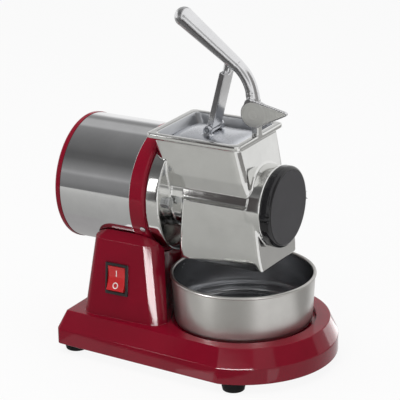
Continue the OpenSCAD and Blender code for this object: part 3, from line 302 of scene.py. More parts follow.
def cover(tree, surface, colour, roughness, height, strength, depth):
    """Links colour, roughness and the height of a relief to a shader."""
    relief = add(tree, "ShaderNodeBump", {"Height": height, "Strength": strength,
                                          "Distance": depth})
    tree.links.new(colour, surface.inputs["Base Color"])
    tree.links.new(roughness, surface.inputs["Roughness"])
    tree.links.new(relief.outputs["Normal"], surface.inputs["Normal"])


def darker(colour, share):
    return tuple(c * share for c in colour)


# Finishes

FINE_RELIEF = 0.3 * MM
CAP_RIM = 3.2 * MM
RIM_BLEND = 0.6 * MM


def toned_material(name, colour, dark, patch, roughness, relief, strength, depth, shading):
    """A finish that changes in tone and roughness from place to place, with a fine relief."""
    material, tree, surface = shader(name, **shading)
    tone = placed(tree, "mottle", Colour=colour, Other_Colour=darker(colour, dark), Scale=patch,
                  Low_Roughness=roughness[0], High_Roughness=roughness[1])
    kind, values = relief
    pattern = placed(tree, kind, **values)
    cover(tree, surface, tone.outputs["Colour"], tone.outputs["Roughness"],
          pattern.outputs["Height"], strength, depth)
    return material


def polished_material(name, colour, roughness, dull, scale, strength, stretch=(1.0, 1.0, 1.0)):
    """Metal with the marks of polishing, dulled in places."""
    material, tree, surface = shader(name, Metallic=1.0)
    tone = placed(tree, "mottle", Colour=colour, Other_Colour=darker(colour, 0.93), Scale=30.0)
    marks = placed(tree, "brushed", Stretch=stretch, Scale=scale)
    wear = placed(tree, "smudge", Scale=22.0, Roughness=roughness, Dull_Roughness=dull)
    cover(tree, surface, tone.outputs["Colour"], wear.outputs["Roughness"],
          marks.outputs["Height"], strength, FINE_RELIEF)
    return material


def plate_material(name, colour, centre):
    """Satin metal with turned rings that show in its tone and relief."""
    material, tree, surface = shader(name, Metallic=1.0)
    tone = placed(tree, "mottle", Colour=colour, Other_Colour=darker(colour, 0.9), Scale=60.0,
                  Low_Roughness=0.36, High_Roughness=0.46)
    rings = placed(tree, "rings", Centre=centre, Across_Axis=(1.0, 0.0, 1.0), Pitch=440.0)
    shade = mix_colour(tree, rings.outputs["Height"], (*darker(colour, 0.66), 1.0),
                       tone.outputs["Colour"])
    cover(tree, surface, shade, tone.outputs["Roughness"], rings.outputs["Height"],
          strength=0.5, depth=0.6 * MM)
    return material


def cap_material(name, colour, centre, face_radius):
    """Satin face with a darker, shinier rim round it."""
    material, tree, surface = shader(name, Specular_IOR_Level=0.4)
    tone = placed(tree, "mottle", Colour=colour, Other_Colour=darker(colour, 0.88), Scale=45.0)
    turned = placed(tree, "rings", Centre=centre, Across_Axis=(0.0, 1.0, 1.0), Pitch=1500.0)
    rim = span(tree, turned.outputs["Radius"], face_radius - RIM_BLEND, face_radius)
    shade = mix_colour(tree, rim, tone.outputs["Colour"], (*darker(colour, 0.2), 1.0))
    rough = span(tree, rim, low=0.0, high=1.0, low_out=0.42, high_out=0.16)
    cover(tree, surface, shade, rough, turned.outputs["Height"], strength=0.06, depth=FINE_RELIEF)
    return material


def toned(colour, **values):
    return toned_material, colour, values


def polished(colour, **values):
    return polished_material, colour, values


def bowl_steel(colour, roughness):
    relief = ("brushed", {"Stretch": (0.15, 0.15, 6.0), "Scale": 240.0})
    return toned(colour, dark=0.9, patch=26.0, roughness=roughness, relief=relief,
                 strength=0.12, depth=FINE_RELIEF, shading={"Metallic": 1.0})


def plastic(colour, roughness, grain, strength, **shading):
    relief = ("grain", {"Scale": grain, "Coarse_Scale": grain / 6, "Coarse_Share": 0.25})
    return toned(colour, dark=0.8, patch=45.0, roughness=roughness, relief=relief,
                 strength=strength, depth=FINE_RELIEF, shading=shading)


LEVER_PIN = middle_of("lever_pin")

# Each finish with the function that makes it, its colour in GraterColours and its values
FINISHES = {
    "red_enamel": toned(
        "enamel", dark=0.86, patch=18.0, roughness=(0.07, 0.12), strength=0.1, depth=1.0 * MM,
        shading={"Specular_IOR_Level": 0.24},
        relief=("grain", {"Scale": 700.0, "Coarse_Scale": 70.0, "Coarse_Share": 0.8})),
    "polished_steel": polished("shell", roughness=0.05, dull=0.11, stretch=(1.5, 0.3, 0.3),
                               scale=160.0, strength=0.02),
    "cast_aluminium": polished("casting", roughness=0.11, dull=0.2, stretch=(1.0, 1.0, 0.12),
                               scale=420.0, strength=0.05),
    "plain_steel": polished("fastener", roughness=0.2, dull=0.34, scale=500.0, strength=0.12),
    # Rougher as unpolished metal, and darker as painted shade inside the hopper
    "hopper_inside": polished("inside", roughness=0.28, dull=0.4, scale=350.0, strength=0.1),
    "lever_aluminium": polished("lever", roughness=0.2, dull=0.28, scale=260.0, strength=0.025),
    "presser_aluminium": polished("presser", roughness=0.26, dull=0.38, stretch=(0.2, 1.0, 1.0),
                                  scale=300.0, strength=0.1),
    "turned_plate": (plate_material, "plate", {"centre": (LEVER_PIN[0], 0.0, LEVER_PIN[2])}),
    "bowl_steel": bowl_steel("bowl", (0.3, 0.38)),
    "bowl_inner": bowl_steel("bowl_inner", (0.2, 0.28)),
    "black_rubber": plastic("rubber", (0.55, 0.7), grain=700.0, strength=0.3,
                            Specular_IOR_Level=0.12),
    "grey_plastic": (cap_material, "cap", {"centre": MOTOR_AXIS,
                                           "face_radius": half_of("front_cap")[2] - CAP_RIM}),
    "black_plastic": plastic("frame_plastic", (0.25, 0.36), grain=900.0, strength=0.1),
    "white_plastic": plastic("nylon", (0.35, 0.45), grain=600.0, strength=0.1),
    "switch_mark": plastic("mark", (0.4, 0.5), grain=800.0, strength=0.05),
    # The rocker's faint red emission is a painted glow; no lamp is built into it
    "red_lens": plastic("lens", (0.12, 0.2), grain=500.0, strength=0.03, Coat_Weight=0.3,
                        Emission_Color=(0.8, 0.02, 0.02, 1.0), Emission_Strength=0.05),
    "core_steel": toned("core", dark=0.7, patch=70.0, roughness=(0.4, 0.55), strength=0.4,
                        depth=0.5 * MM, shading={"Metallic": 1.0},
                        relief=("brushed", {"Stretch": (8.0, 0.2, 0.2), "Scale": 180.0})),
    "copper_wire": toned("copper", dark=0.6, patch=90.0, roughness=(0.25, 0.4), strength=0.6,
                         depth=0.8 * MM, shading={"Metallic": 0.8, "Coat_Weight": 0.6},
                         relief=("rings", {"Centre": MOTOR_AXIS, "Across_Axis": (0.0, 1.0, 1.0),
                                           "Pitch": 900.0})),
}


@cache
def finish_of(name):
    """The named finish, made the first time that it is asked for."""
    make, key, values = FINISHES[name]
    return make(name, tuple(getattr(bpy.context.scene.grater_colours, key)), **values)


# Mesh helpers: faces that meet below FLAT_FOLD are joined, edges above SHARP_FOLD stay crisp, and
# an edge stands free if no face is nearer in front of it than FREE_ROOM

FLAT_FOLD = math.radians(0.8)
SHARP_FOLD = math.radians(40)
RAY_LIFT = 0.2 * MM
FREE_ROOM = 120 * MM
AXIS_GAP = 0.01 * MM
ROUND_DIGITS = 6
BODY_OF = {node: body for body, nodes in frame["record"]["behaviour"]["bodies"].items()
           for node in nodes}
SLOT_OF = {part["node"]: part["material_slot"] for part in frame["record"]["subparts"]}


def dress(*nodes):
    """Solids that keep their own shape and get the finish of their slot."""
    for node in nodes:
        mesh = frame["nodes"][node].data
        mesh.materials.clear()
        mesh.materials.append(finish_of(SLOT_OF[node]))


def new_mesh(name, bm):
    """A mesh from a bmesh, which it uses up."""
    mesh = bpy.data.meshes.new(name)
    bm.to_mesh(mesh)
    bm.free()
    return mesh


def new_object(name, data):
    obj = bpy.data.objects.new(name, data)
    bpy.context.scene.collection.objects.link(obj)
    return obj


def clean_copy(node, weld):
    """The solid's faces with their triangles joined again, as a bmesh."""
    source = frame["nodes"][node].data
    mesh = bpy.data.meshes.new(node + "_faces")
    mesh.from_pydata([v.co for v in source.vertices], [], [p.vertices for p in source.polygons])
    bm = bmesh.new()
    bm.from_mesh(mesh)
    bpy.data.meshes.remove(mesh)
    bmesh.ops.remove_doubles(bm, verts=bm.verts, dist=weld)
    bmesh.ops.dissolve_limit(bm, angle_limit=FLAT_FOLD, verts=bm.verts, edges=bm.edges)
    return bm


def mark_open_edges(bm, angle):
    """Bevel weight 1 on each sharp edge that stands free, and a crisp fold on the others."""
    weight = bm.edges.layers.float.new("bevel_weight_edge")
    bm.normal_update()
    tree = BVHTree.FromBMesh(bm)
    for edge in bm.edges:
        if len(edge.link_faces) != 2 or edge.calc_face_angle(0.0) < angle:
            continue
        normal = (edge.link_faces[0].normal + edge.link_faces[1].normal).normalized()
        middle = (edge.verts[0].co + edge.verts[1].co) / 2
        hit = tree.ray_cast(middle + normal * RAY_LIFT, normal, FREE_ROOM)
        if hit[0] is None:
            edge[weight] = 1.0
        else:
            edge.smooth = False


def softened(name, node, radius, finish=None, angle=28.0):
    """A copy of a solid with its open edges rounded, which stands for it."""
    bm = clean_copy(node, weld=0.01 * MM)
    mark_open_edges(bm, math.radians(angle))
    for face in bm.faces:
        face.smooth = True
    mesh = new_mesh(name, bm)
    mesh.materials.append(finish_of(finish or SLOT_OF[node]))
    piece = new_object(name, mesh)
    rounding = piece.modifiers.new("Rounding", "BEVEL")
    rounding.limit_method = "WEIGHT"
    rounding.width = radius
    rounding.segments = 3
    rounding.use_clamp_overlap = False
    rounding.miter_outer = "MITER_ARC"
    seams = piece.modifiers.new("Seams", "WELD")
    seams.merge_threshold = 0.002 * MM
    normals = piece.modifiers.new("Normals", "WEIGHTED_NORMAL")
    normals.weight = 50
    normals.keep_sharp = True
    stand_for(piece, node)


def moulded(name, node, voxel, rounds, keep, finish=None):
    """A copy of a solid as one skin, its corners and joins rounded as in a casting."""
    mesh = new_mesh(name, clean_copy(node, weld=0.001 * MM))
    piece = new_object(name, mesh)
    skin = piece.modifiers.new("Skin", "REMESH")
    skin.mode = "VOXEL"
    skin.voxel_size = voxel
    skin.use_smooth_shade = True
    blend = piece.modifiers.new("Blend", "SMOOTH")
    blend.factor = 0.5
    blend.iterations = rounds
    thin = piece.modifiers.new("Thin", "DECIMATE")
    thin.ratio = keep
    shape = bpy.data.meshes.new_from_object(
        piece.evaluated_get(bpy.context.evaluated_depsgraph_get()))
    piece.modifiers.clear()
    shape.name = name
    piece.data = shape
    bpy.data.meshes.remove(mesh)
    shape.materials.clear()
    shape.materials.append(finish_of(finish or SLOT_OF[node]))
    stand_for(piece, node)
    return piece


def half_section(node):
    """Edges of a solid of revolution where it is cut through its axis, as radius and height."""
    x, y, _ = middle_of(node)
    bm = bmesh.new()
    bm.from_mesh(frame["nodes"][node].data)
    bmesh.ops.remove_doubles(bm, verts=bm.verts, dist=0.005 * MM)
    cut = bmesh.ops.bisect_plane(bm, geom=bm.verts[:] + bm.edges[:] + bm.faces[:],
                                 plane_co=(x, y, 0.0), plane_no=(0.0, 1.0, 0.0),
                                 clear_inner=True, clear_outer=True)
    section = [e for e in cut["geom_cut"] if isinstance(e, bmesh.types.BMEdge)]
    edges = sorted(sorted((v.co.x - x, v.co.z) for v in e.verts) for e in section)
    bm.free()
    return edges


def moulded_round(name, node, steps):
    """A turned copy of a solid of revolution, with more steps round than the solid has."""
    x, y, _ = middle_of(node)
    loops = bmesh.new()
    made = {}
    for (low_r, low_z), (high_r, high_z) in half_section(node):
        if high_r < AXIS_GAP:
            continue
        if low_r < 0.0:
            low_z += (high_z - low_z) * low_r / (low_r - high_r)
        keys = [(round(r, ROUND_DIGITS), round(z, ROUND_DIGITS))
                for r, z in ((max(low_r, 0.0), low_z), (high_r, high_z))]
        for key in keys:
            if key not in made:
                made[key] = loops.verts.new((x + key[0], y, key[1]))
        if keys[0] != keys[1]:
            loops.edges.new((made[keys[0]], made[keys[1]]))
    bmesh.ops.spin(loops, geom=loops.verts[:] + loops.edges[:], cent=(x, y, 0.0),
                   axis=(0.0, 0.0, 1.0), angle=2 * math.pi, steps=steps, use_merge=True)
    bmesh.ops.remove_doubles(loops, verts=loops.verts, dist=0.02 * MM)
    bmesh.ops.recalc_face_normals(loops, faces=loops.faces)
    for face in loops.faces:
        face.smooth = True
    for edge in loops.edges:
        edge.smooth = edge.calc_face_angle(0.0) < SHARP_FOLD
    mesh = new_mesh(name, loops)
    mesh.materials.append(finish_of(SLOT_OF[node]))
    piece = new_object(name, mesh)
    stand_for(piece, node)
    return piece


def stand_for(piece, node):
    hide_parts(node)
    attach(piece, BODY_OF[node])


def join_rings(bm, first, second):
    """Faces between two rings of as many corners."""
    for i in range(len(first)):
        j = (i + 1) % len(first)
        bm.faces.new((first[i], first[j], second[j], second[i]))


def new_piece(name, bm, finish, body):
    """A piece with flat faces that stands for no solid."""
    bmesh.ops.recalc_face_normals(bm, faces=bm.faces)
    mesh = new_mesh(name, bm)
    mesh.materials.append(finish_of(finish))
    piece = new_object(name, mesh)
    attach(piece, body)


class GRATER_OT_base(Operator):
    """Red base casting with its plate, feet and foot screws"""
    bl_idname = "grater.base"
    bl_label = "Base"

    def execute(self, context):
        sizes = context.scene.grater_sizes
        softened("base_body", "base_casting", sizes.base_edge, angle=14.0)
        softened("feet", "rubber_feet", sizes.small_edge)
        dress("bottom_plate", "foot_screws")
        return {"FINISHED"}


class GRATER_OT_motor(Operator):
    """Motor shell, red front ring and rear cover, with what is inside them"""
    bl_idname = "grater.motor"
    bl_label = "Motor"

    def execute(self, context):
        sizes = context.scene.grater_sizes
        softened("shell_tube", "motor_shell", sizes.small_edge)
        softened("front_ring", "motor_front_shield", sizes.small_edge)
        softened("rear_disc", "motor_rear_cover", sizes.small_edge)
        dress("tie_rods", "ring_screws", "motor_screws", "stator_core", "stator_windings",
              "rotor_core", "motor_shaft", "front_bearing", "rear_bearing", "shaft_seal")
        return {"FINISHED"}


# Marks on the rocker: places as shares of its height, ring's radius as a share of a mark's height,
# steps in half a bar and in a ring, and how far a mark stands out of the rocker and reaches in
ON_PLACE, OFF_PLACE = 0.72, 0.27
RING_SHARE = 0.42
BAR_STEPS, RING_STEPS = 4, 32
MARK_RISE, MARK_ROOT = 0.12 * MM, 0.15 * MM
SEARCH_START, SEARCH_REACH = 10 * MM, 50 * MM


class GRATER_OT_switch(Operator):
    """Rocker switch on the pedestal with its marks"""
    bl_idname = "grater.switch"
    bl_label = "Switch"

    def execute(self, context):
        sizes = context.scene.grater_sizes
        softened("switch_bezel", "switch_frame", sizes.small_edge)
        softened("rocker_key", "switch_rocker", sizes.small_edge)
        low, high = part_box("switch_rocker")
        x = (low[0] + high[0]) / 2
        on_z, off_z = (low[2] + place * (high[2] - low[2]) for place in (ON_PLACE, OFF_PLACE))
        half, rise = sizes.mark_width / 2, sizes.mark_height / 2
        ring = sizes.mark_height * RING_SHARE
        heights = [on_z + rise * k / BAR_STEPS for k in range(-BAR_STEPS, BAR_STEPS + 1)]
        bar = [((x - half, z), (x + half, z)) for z in heights]
        turns = [2 * math.pi * k / RING_STEPS for k in range(RING_STEPS)]
        loop = [tuple((x + r * math.sin(a), off_z + r * math.cos(a))
                      for r in (ring - half, ring + half)) for a in turns]
        self.mark("on_mark", bar, closed=False)
        self.mark("off_mark", loop, closed=True)
        return {"FINISHED"}

    def mark(self, name, pairs, closed):
        """A printed line on the rocker, given by pairs of points along its two edges."""
        source = frame["nodes"]["switch_rocker"].data
        tree = BVHTree.FromPolygons([v.co for v in source.vertices],
                                    [p.vertices for p in source.polygons])
        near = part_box("switch_rocker")[0][1] - SEARCH_START
        bm = bmesh.new()
        rings = []
        for pair in pairs:
            outer, inner = [], []
            for x, z in pair:
                point, normal, _, _ = tree.ray_cast(Vector((x, near, z)), Vector((0, 1, 0)),
                                                    SEARCH_REACH)
                if point is None:
                    raise RuntimeError("the mark misses the rocker")
                outer.append(bm.verts.new(point + normal * MARK_RISE))
                inner.append(bm.verts.new(point - normal * MARK_ROOT))
            rings.append(outer + inner[::-1])
        for first, second in zip(rings, rings[1:]):
            join_rings(bm, first, second)
        if closed:
            join_rings(bm, rings[-1], rings[0])
        else:
            bm.faces.new(rings[0])
            bm.faces.new(rings[-1])
        new_piece(name, bm, "switch_mark", BODY_OF["switch_rocker"])


# The chute's walls turn in over CURL_HEIGHT, in front of CURL_BACK; the hopper's rougher walls,
# whose darker colour is painted shade, face the presser, are steep and end a little above it
CURL_HEIGHT, CURL_BACK = 21 * MM, -12 * MM
WALL_FACING, WALL_STEEP, WALL_RISE = 0.5, 0.8, 8 * MM


class GRATER_OT_head(Operator):
    """Polished grating head with its studs and nuts"""
    bl_idname = "grater.head"
    bl_label = "Grating head"

    def execute(self, context):
        sizes = context.scene.grater_sizes
        head = moulded("head_casting", "grating_head", voxel=0.8 * MM, rounds=9, keep=0.35)
        self.curl_chute(head.data, sizes.chute_curl)
        self.shade_inside_walls(head.data)
        softened("nuts", "head_nuts", sizes.small_edge)
        dress("head_studs")
        return {"FINISHED"}

    def curl_chute(self, mesh, reach):
        """Turns the lower end of the chute's side walls in a little."""
        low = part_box("grating_head")[0][2]
        for vertex in mesh.vertices:
            share = (low + CURL_HEIGHT - vertex.co.z) / CURL_HEIGHT
            if share > 0 and vertex.co.x > CURL_BACK:
                vertex.co.y -= math.copysign(reach * share * share, vertex.co.y)

    def shade_inside_walls(self, mesh):
        """The unpolished walls inside the hopper, in a darker colour that is painted shade of the
        gap round the presser.
        """
        mesh.materials.append(finish_of("hopper_inside"))
        presser = middle_of("presser")
        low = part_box("roller_drum")[1][2]
        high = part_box("presser")[1][2] + WALL_RISE
        for face in mesh.polygons:
            inward = Vector((presser[0], presser[1], 0.0)) - face.center
            inward.z = 0.0
            facing_in = face.normal.dot(inward.normalized()) > WALL_FACING
            if facing_in and low < face.center.z < high and abs(face.normal.z) < WALL_STEEP:
                face.material_index = 1


# Depth of a tooth's foot in the drum, and its crown in shares of the foot: along the roller, round
# it, and how far it leans
TOOTH_SUNK = 0.1 * MM
CROWN_ALONG, CROWN_ROUND, CROWN_LEAN = 0.35, 0.3, 0.5


class GRATER_OT_roller(Operator):
    """Grating roller with rows of punched teeth"""
    bl_idname = "grater.roller"
    bl_label = "Roller"

    def execute(self, context):
        sizes = context.scene.grater_sizes
        dress("roller_drum", "roller_rear_hub", "roller_front_hub", "drive_pin")
        low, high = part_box("roller_drum")
        radius = (high[1] - low[1]) / 2
        pitch = (high[0] - low[0]) / sizes.tooth_columns
        half = sizes.tooth_width / 2
        corners = [(-half, -half), (half, -half), (half, half), (-half, half)]
        sunk = radius * math.cos(half / radius) - TOOTH_SUNK
        peak = radius + sizes.tooth_height
        foot = [(a, b, sunk) for a, b in corners]
        top = [(a * CROWN_ALONG, half * CROWN_LEAN + b * CROWN_ROUND, peak) for a, b in corners]
        bm = bmesh.new()
        for row in range(sizes.tooth_rows):
            turn = 2 * math.pi * row / sizes.tooth_rows
            spin = Matrix.Translation(MOTOR_AXIS) @ Matrix.Rotation(turn, 4, "X")
            odd = row % 2
            for column in range(sizes.tooth_columns - odd):
                x = low[0] + pitch * (column + (1 + odd) / 2)
                ring, crown = ([bm.verts.new(spin @ Vector((x + a, b, c))) for a, b, c in outline]
                               for outline in (foot, top))
                bm.faces.new(crown)
                bm.faces.new(ring[::-1])
                join_rings(bm, ring, crown)
        new_piece("roller_teeth", bm, "plain_steel", "drive_train")
        return {"FINISHED"}


class GRATER_OT_cap(Operator):
    """Black twist cap on the front of the head"""
    bl_idname = "grater.front_cap"
    bl_label = "Front cap"

    def execute(self, context):
        softened("twist_cap", "front_cap", context.scene.grater_sizes.cap_edge)
        return {"FINISHED"}


class GRATER_OT_lever(Operator):
    """Polished lever with its cheek plates and pin"""
    bl_idname = "grater.lever"
    bl_label = "Lever"

    def execute(self, context):
        sizes = context.scene.grater_sizes
        moulded("lever_casting", "lever", voxel=0.5 * MM, rounds=6, keep=0.5,
                finish="lever_aluminium")
        softened("plates", "cheek_plates", sizes.small_edge / 2, finish="turned_plate")
        dress("lever_pin")
        return {"FINISHED"}


# Where the presser's top is measured and where it starts to fall, as shares of the way to its edge;
# how deep the fall reaches and how far the sides draw in, as shares of the fall
TOP_ZONE, FALL_START = 0.6, 0.5
FALL_DEPTH, SIDE_DRAW = 3.0, 0.5


class GRATER_OT_presser(Operator):
    """Presser plate in the hopper and its pin"""
    bl_idname = "grater.presser"
    bl_label = "Presser"

    def execute(self, context):
        sizes = context.scene.grater_sizes
        block = moulded("presser_block", "presser", voxel=0.8 * MM, rounds=14, keep=0.5,
                        finish="presser_aluminium")
        self.round_top(block.data, sizes.presser_fall)
        dress("presser_pin")
        return {"FINISHED"}

    def round_top(self, mesh, fall):
        """Lets the top of the presser fall away towards its edges."""
        middle, half = middle_of("presser"), half_of("presser")
        spread = [max(abs(v.co[axis] - middle[axis]) / half[axis] for axis in (0, 1))
                  for v in mesh.vertices]
        top = max(v.co.z for v, s in zip(mesh.vertices, spread) if s > TOP_ZONE)
        reach = FALL_DEPTH * fall
        for vertex, s in zip(mesh.vertices, spread):
            share = min(max((vertex.co.z - top + reach) / reach, 0.0), 1.0)
            drop = fall * share * max((s - FALL_START) / (1 - FALL_START), 0.0) ** 2
            vertex.co.z -= drop
            for axis in (0, 1):
                aside = (vertex.co[axis] - middle[axis]) / half[axis]
                vertex.co[axis] -= SIDE_DRAW * drop * aside


# The bowl's inner finish ends below the rim, on faces that look in or up by more than this
RIM_DEPTH = 2.2 * MM
INNER_FACING = 0.3


class GRATER_OT_bowl(Operator):
    """Steel bowl under the chute"""
    bl_idname = "grater.bowl"
    bl_label = "Bowl"

    def execute(self, context):
        shell = moulded_round("steel_bowl", "bowl", steps=160)
        shell.data.materials.append(finish_of("bowl_inner"))
        middle = Vector(middle_of("bowl"))
        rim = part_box("bowl")[1][2] - RIM_DEPTH
        for face in shell.data.polygons:
            out = face.center - middle
            out.z = 0.0
            inward = face.normal.dot(out.normalized()) < -INNER_FACING
            upward = face.normal.z > INNER_FACING
            if (inward or upward) and face.center.z < rim:
                face.material_index = 1
        return {"FINISHED"}


class GRATER_OT_electrics(Operator):
    """Cord inlet, capacitor and terminal block"""
    bl_idname = "grater.electrics"
    bl_label = "Electrics"

    def execute(self, context):
        softened("inlet_gland", "cable_gland", context.scene.grater_sizes.small_edge)
        dress("gland_nut", "capacitor", "capacitor_clip", "terminal_block")
        return {"FINISHED"}


# Studio helpers

FLOOR_HALF = 4.0
FLOOR_WHITE = 0.88
WORLD_LEVEL = 0.5
LAMP_TARGET = (0.0, 0.0, 0.15)
SENSOR_WIDTH = 36.0
CLIP_END = 50.0


def bare_tree(block):
    """The node tree of a material or world, emptied."""
    block.use_nodes = True
    block.node_tree.nodes.clear()
    return block.node_tree


def glow(name, strength, colour=WHITE):
    """A material that gives light, its node tree, and the node that gives the light."""
    material = bpy.data.materials.new(name)
    tree = bare_tree(material)
    light = add(tree, "ShaderNodeEmission", {"Color": (*colour, 1.0), "Strength": strength})
    add(tree, "ShaderNodeOutputMaterial", {"Surface": light.outputs[0]})
    return material, tree, light


def clear_glow(name, strength):
    """White light from a card that can be seen through."""
    material, tree, light = glow(name, strength)
    out = light.outputs[0].links[0].to_node
    clear = add(tree, "ShaderNodeBsdfTransparent")
    both = add(tree, "ShaderNodeAddShader", {0: light.outputs[0], 1: clear.outputs[0]})
    tree.links.new(both.outputs[0], out.inputs["Surface"])
    return material


def floor_grey(colour, near, far):
    """Grey of the floor card, a little paler further from the grater."""
    material, tree, light = glow("floor_grey", near, colour)
    parts = add(tree, "ShaderNodeSeparateXYZ", {0: object_point(tree)})
    level = span(tree, parts.outputs["Y"], low=-0.15, high=-0.7, low_out=near, high_out=far)
    tree.links.new(level, light.inputs["Strength"])
    return material


def studio(name, mesh, material):
    """Part of the studio that only reflections see."""
    mesh.materials.append(material)
    obj = new_object(name, mesh)
    obj.visible_camera = False
    obj.visible_diffuse = False
    obj.visible_shadow = False
    return obj


def card(name, corners, material):
    bm = bmesh.new()
    bm.faces.new([bm.verts.new(c) for c in corners])
    return studio(name, new_mesh(name, bm), material)


def shown_to(source, *pieces):
    """Lets only the named pieces mirror a card."""
    seen_by = bpy.data.collections.new(source.name + "_seen_by")
    for piece in pieces:
        seen_by.objects.link(bpy.data.objects[piece])
    source.light_linking.receiver_collection = seen_by


def background_rays(tree):
    """1 for rays that see the background straight, in a reflection or through glass."""
    path = add(tree, "ShaderNodeLightPath")
    seen = path.outputs["Is Camera Ray"]
    for label in ("Is Glossy Ray", "Is Transmission Ray"):
        seen = calc(tree, "MAXIMUM", seen, path.outputs[label])
    return seen


def floor_material(colour):
    material = bpy.data.materials.new("pale_floor")
    tree = bare_tree(material)
    paper = add(tree, "ShaderNodeBsdfDiffuse", {"Color": (*colour, 1.0)})
    white = add(tree, "ShaderNodeEmission", {"Color": (*WHITE, 1.0), "Strength": 1.0})
    share = calc(tree, "MULTIPLY", background_rays(tree), FLOOR_WHITE)
    both = add(tree, "ShaderNodeMixShader", {0: share, 1: paper.outputs[0], 2: white.outputs[0]})
    add(tree, "ShaderNodeOutputMaterial", {"Surface": both.outputs[0]})
    return material


def studio_world(level):
    world = bpy.data.worlds.new("studio")
    bpy.context.scene.world = world
    tree = bare_tree(world)
    plain, white = (add(tree, "ShaderNodeBackground", {"Color": (*WHITE, 1.0), "Strength": s})
                    for s in (level, 1.0))
    both = add(tree, "ShaderNodeMixShader", {0: background_rays(tree), 1: plain.outputs[0],
                                             2: white.outputs[0]})
    add(tree, "ShaderNodeOutputWorld", {"Surface": both.outputs[0]})


def lamp(name, place, size, watts):
    data = bpy.data.lights.new(name, "AREA")
    data.shape = "RECTANGLE"
    data.size = data.size_y = size
    data.energy = watts
    obj = new_object(name, data)
    obj.location = place
    aim = Vector(LAMP_TARGET) - Vector(place)
    obj.rotation_euler = aim.to_track_quat("-Z", "Y").to_euler()
    obj.visible_glossy = False


# Side flag: its bend about the motor's axis, its ends, the turns in degrees between which it
# stands, and its grey at turns in degrees
FLAG_RADIUS = 0.9
FLAG_ENDS = (-1.3, -0.14)
FLAG_LOW, FLAG_HIGH, FLAG_STEP = -14, 160, 2
BANDS = [(-20, 0.2), (-8, 0.19), (2, 0.26), (13, 0.3), (18, 0.42), (24, 0.3), (34, 0.21),
         (44, 0.13), (54, 0.12), (66, 0.16), (82, 0.2), (98, 0.25), (110, 0.3), (116, 0.55),
         (134, 0.52), (142, 0.3), (150, 0.36), (160, 0.85)]


def band_grey():
    """Grey that changes with the turn about the motor's axis."""
    material, tree, light = glow("flag_grey", strength=1.0)
    first, last = BANDS[0][0], BANDS[-1][0]
    parts = add(tree, "ShaderNodeSeparateXYZ", {0: object_point(tree)})
    near = calc(tree, "MULTIPLY", parts.outputs["Y"], -1.0)
    rise = calc(tree, "SUBTRACT", parts.outputs["Z"], AXIS_HEIGHT)
    turn = calc(tree, "ARCTAN2", rise, near)
    share = span(tree, turn, math.radians(first), math.radians(last))
    ramp = add(tree, "ShaderNodeValToRGB", {0: share})
    points = ramp.color_ramp.elements
    while len(points) < len(BANDS):
        points.new(0.5)
    for point, (degrees, level) in zip(points, BANDS):
        point.position = (degrees - first) / (last - first)
        point.color = (level, level, level, 1.0)
    tree.links.new(ramp.outputs["Color"], light.inputs["Color"])
    return material


def side_flag():
    """Bent grey card on the motor's side of the studio, dark with a few paler bands."""
    bm = bmesh.new()
    rows = []
    for degrees in range(FLAG_LOW, FLAG_HIGH + 1, FLAG_STEP):
        turn = math.radians(degrees)
        y, z = -FLAG_RADIUS * math.cos(turn), AXIS_HEIGHT + FLAG_RADIUS * math.sin(turn)
        rows.append([bm.verts.new((x, y, z)) for x in FLAG_ENDS])
    for a, b in zip(rows, rows[1:]):
        bm.faces.new((a[0], a[1], b[1], b[0]))
    studio("side_flag", new_mesh("side_flag", bm), band_grey())


def flat(outline, height):
    """Corners of a card that lies at one height."""
    return [(x, y, height) for x, y in outline]


def upright(first, second, low, high):
    """Corners of a card that stands between two points."""
    return [(*first, low), (*second, low), (*second, high), (*first, high)]


def bowl_bar(x, y):
    """Corners of an upright card that faces the bowl."""
    bowl_x, half, height = 0.041, 0.025, 0.16
    across = Vector((-y, x - bowl_x)).normalized() * half
    return upright(Vector((x, y)) - across, Vector((x, y)) + across, 0.0, height)


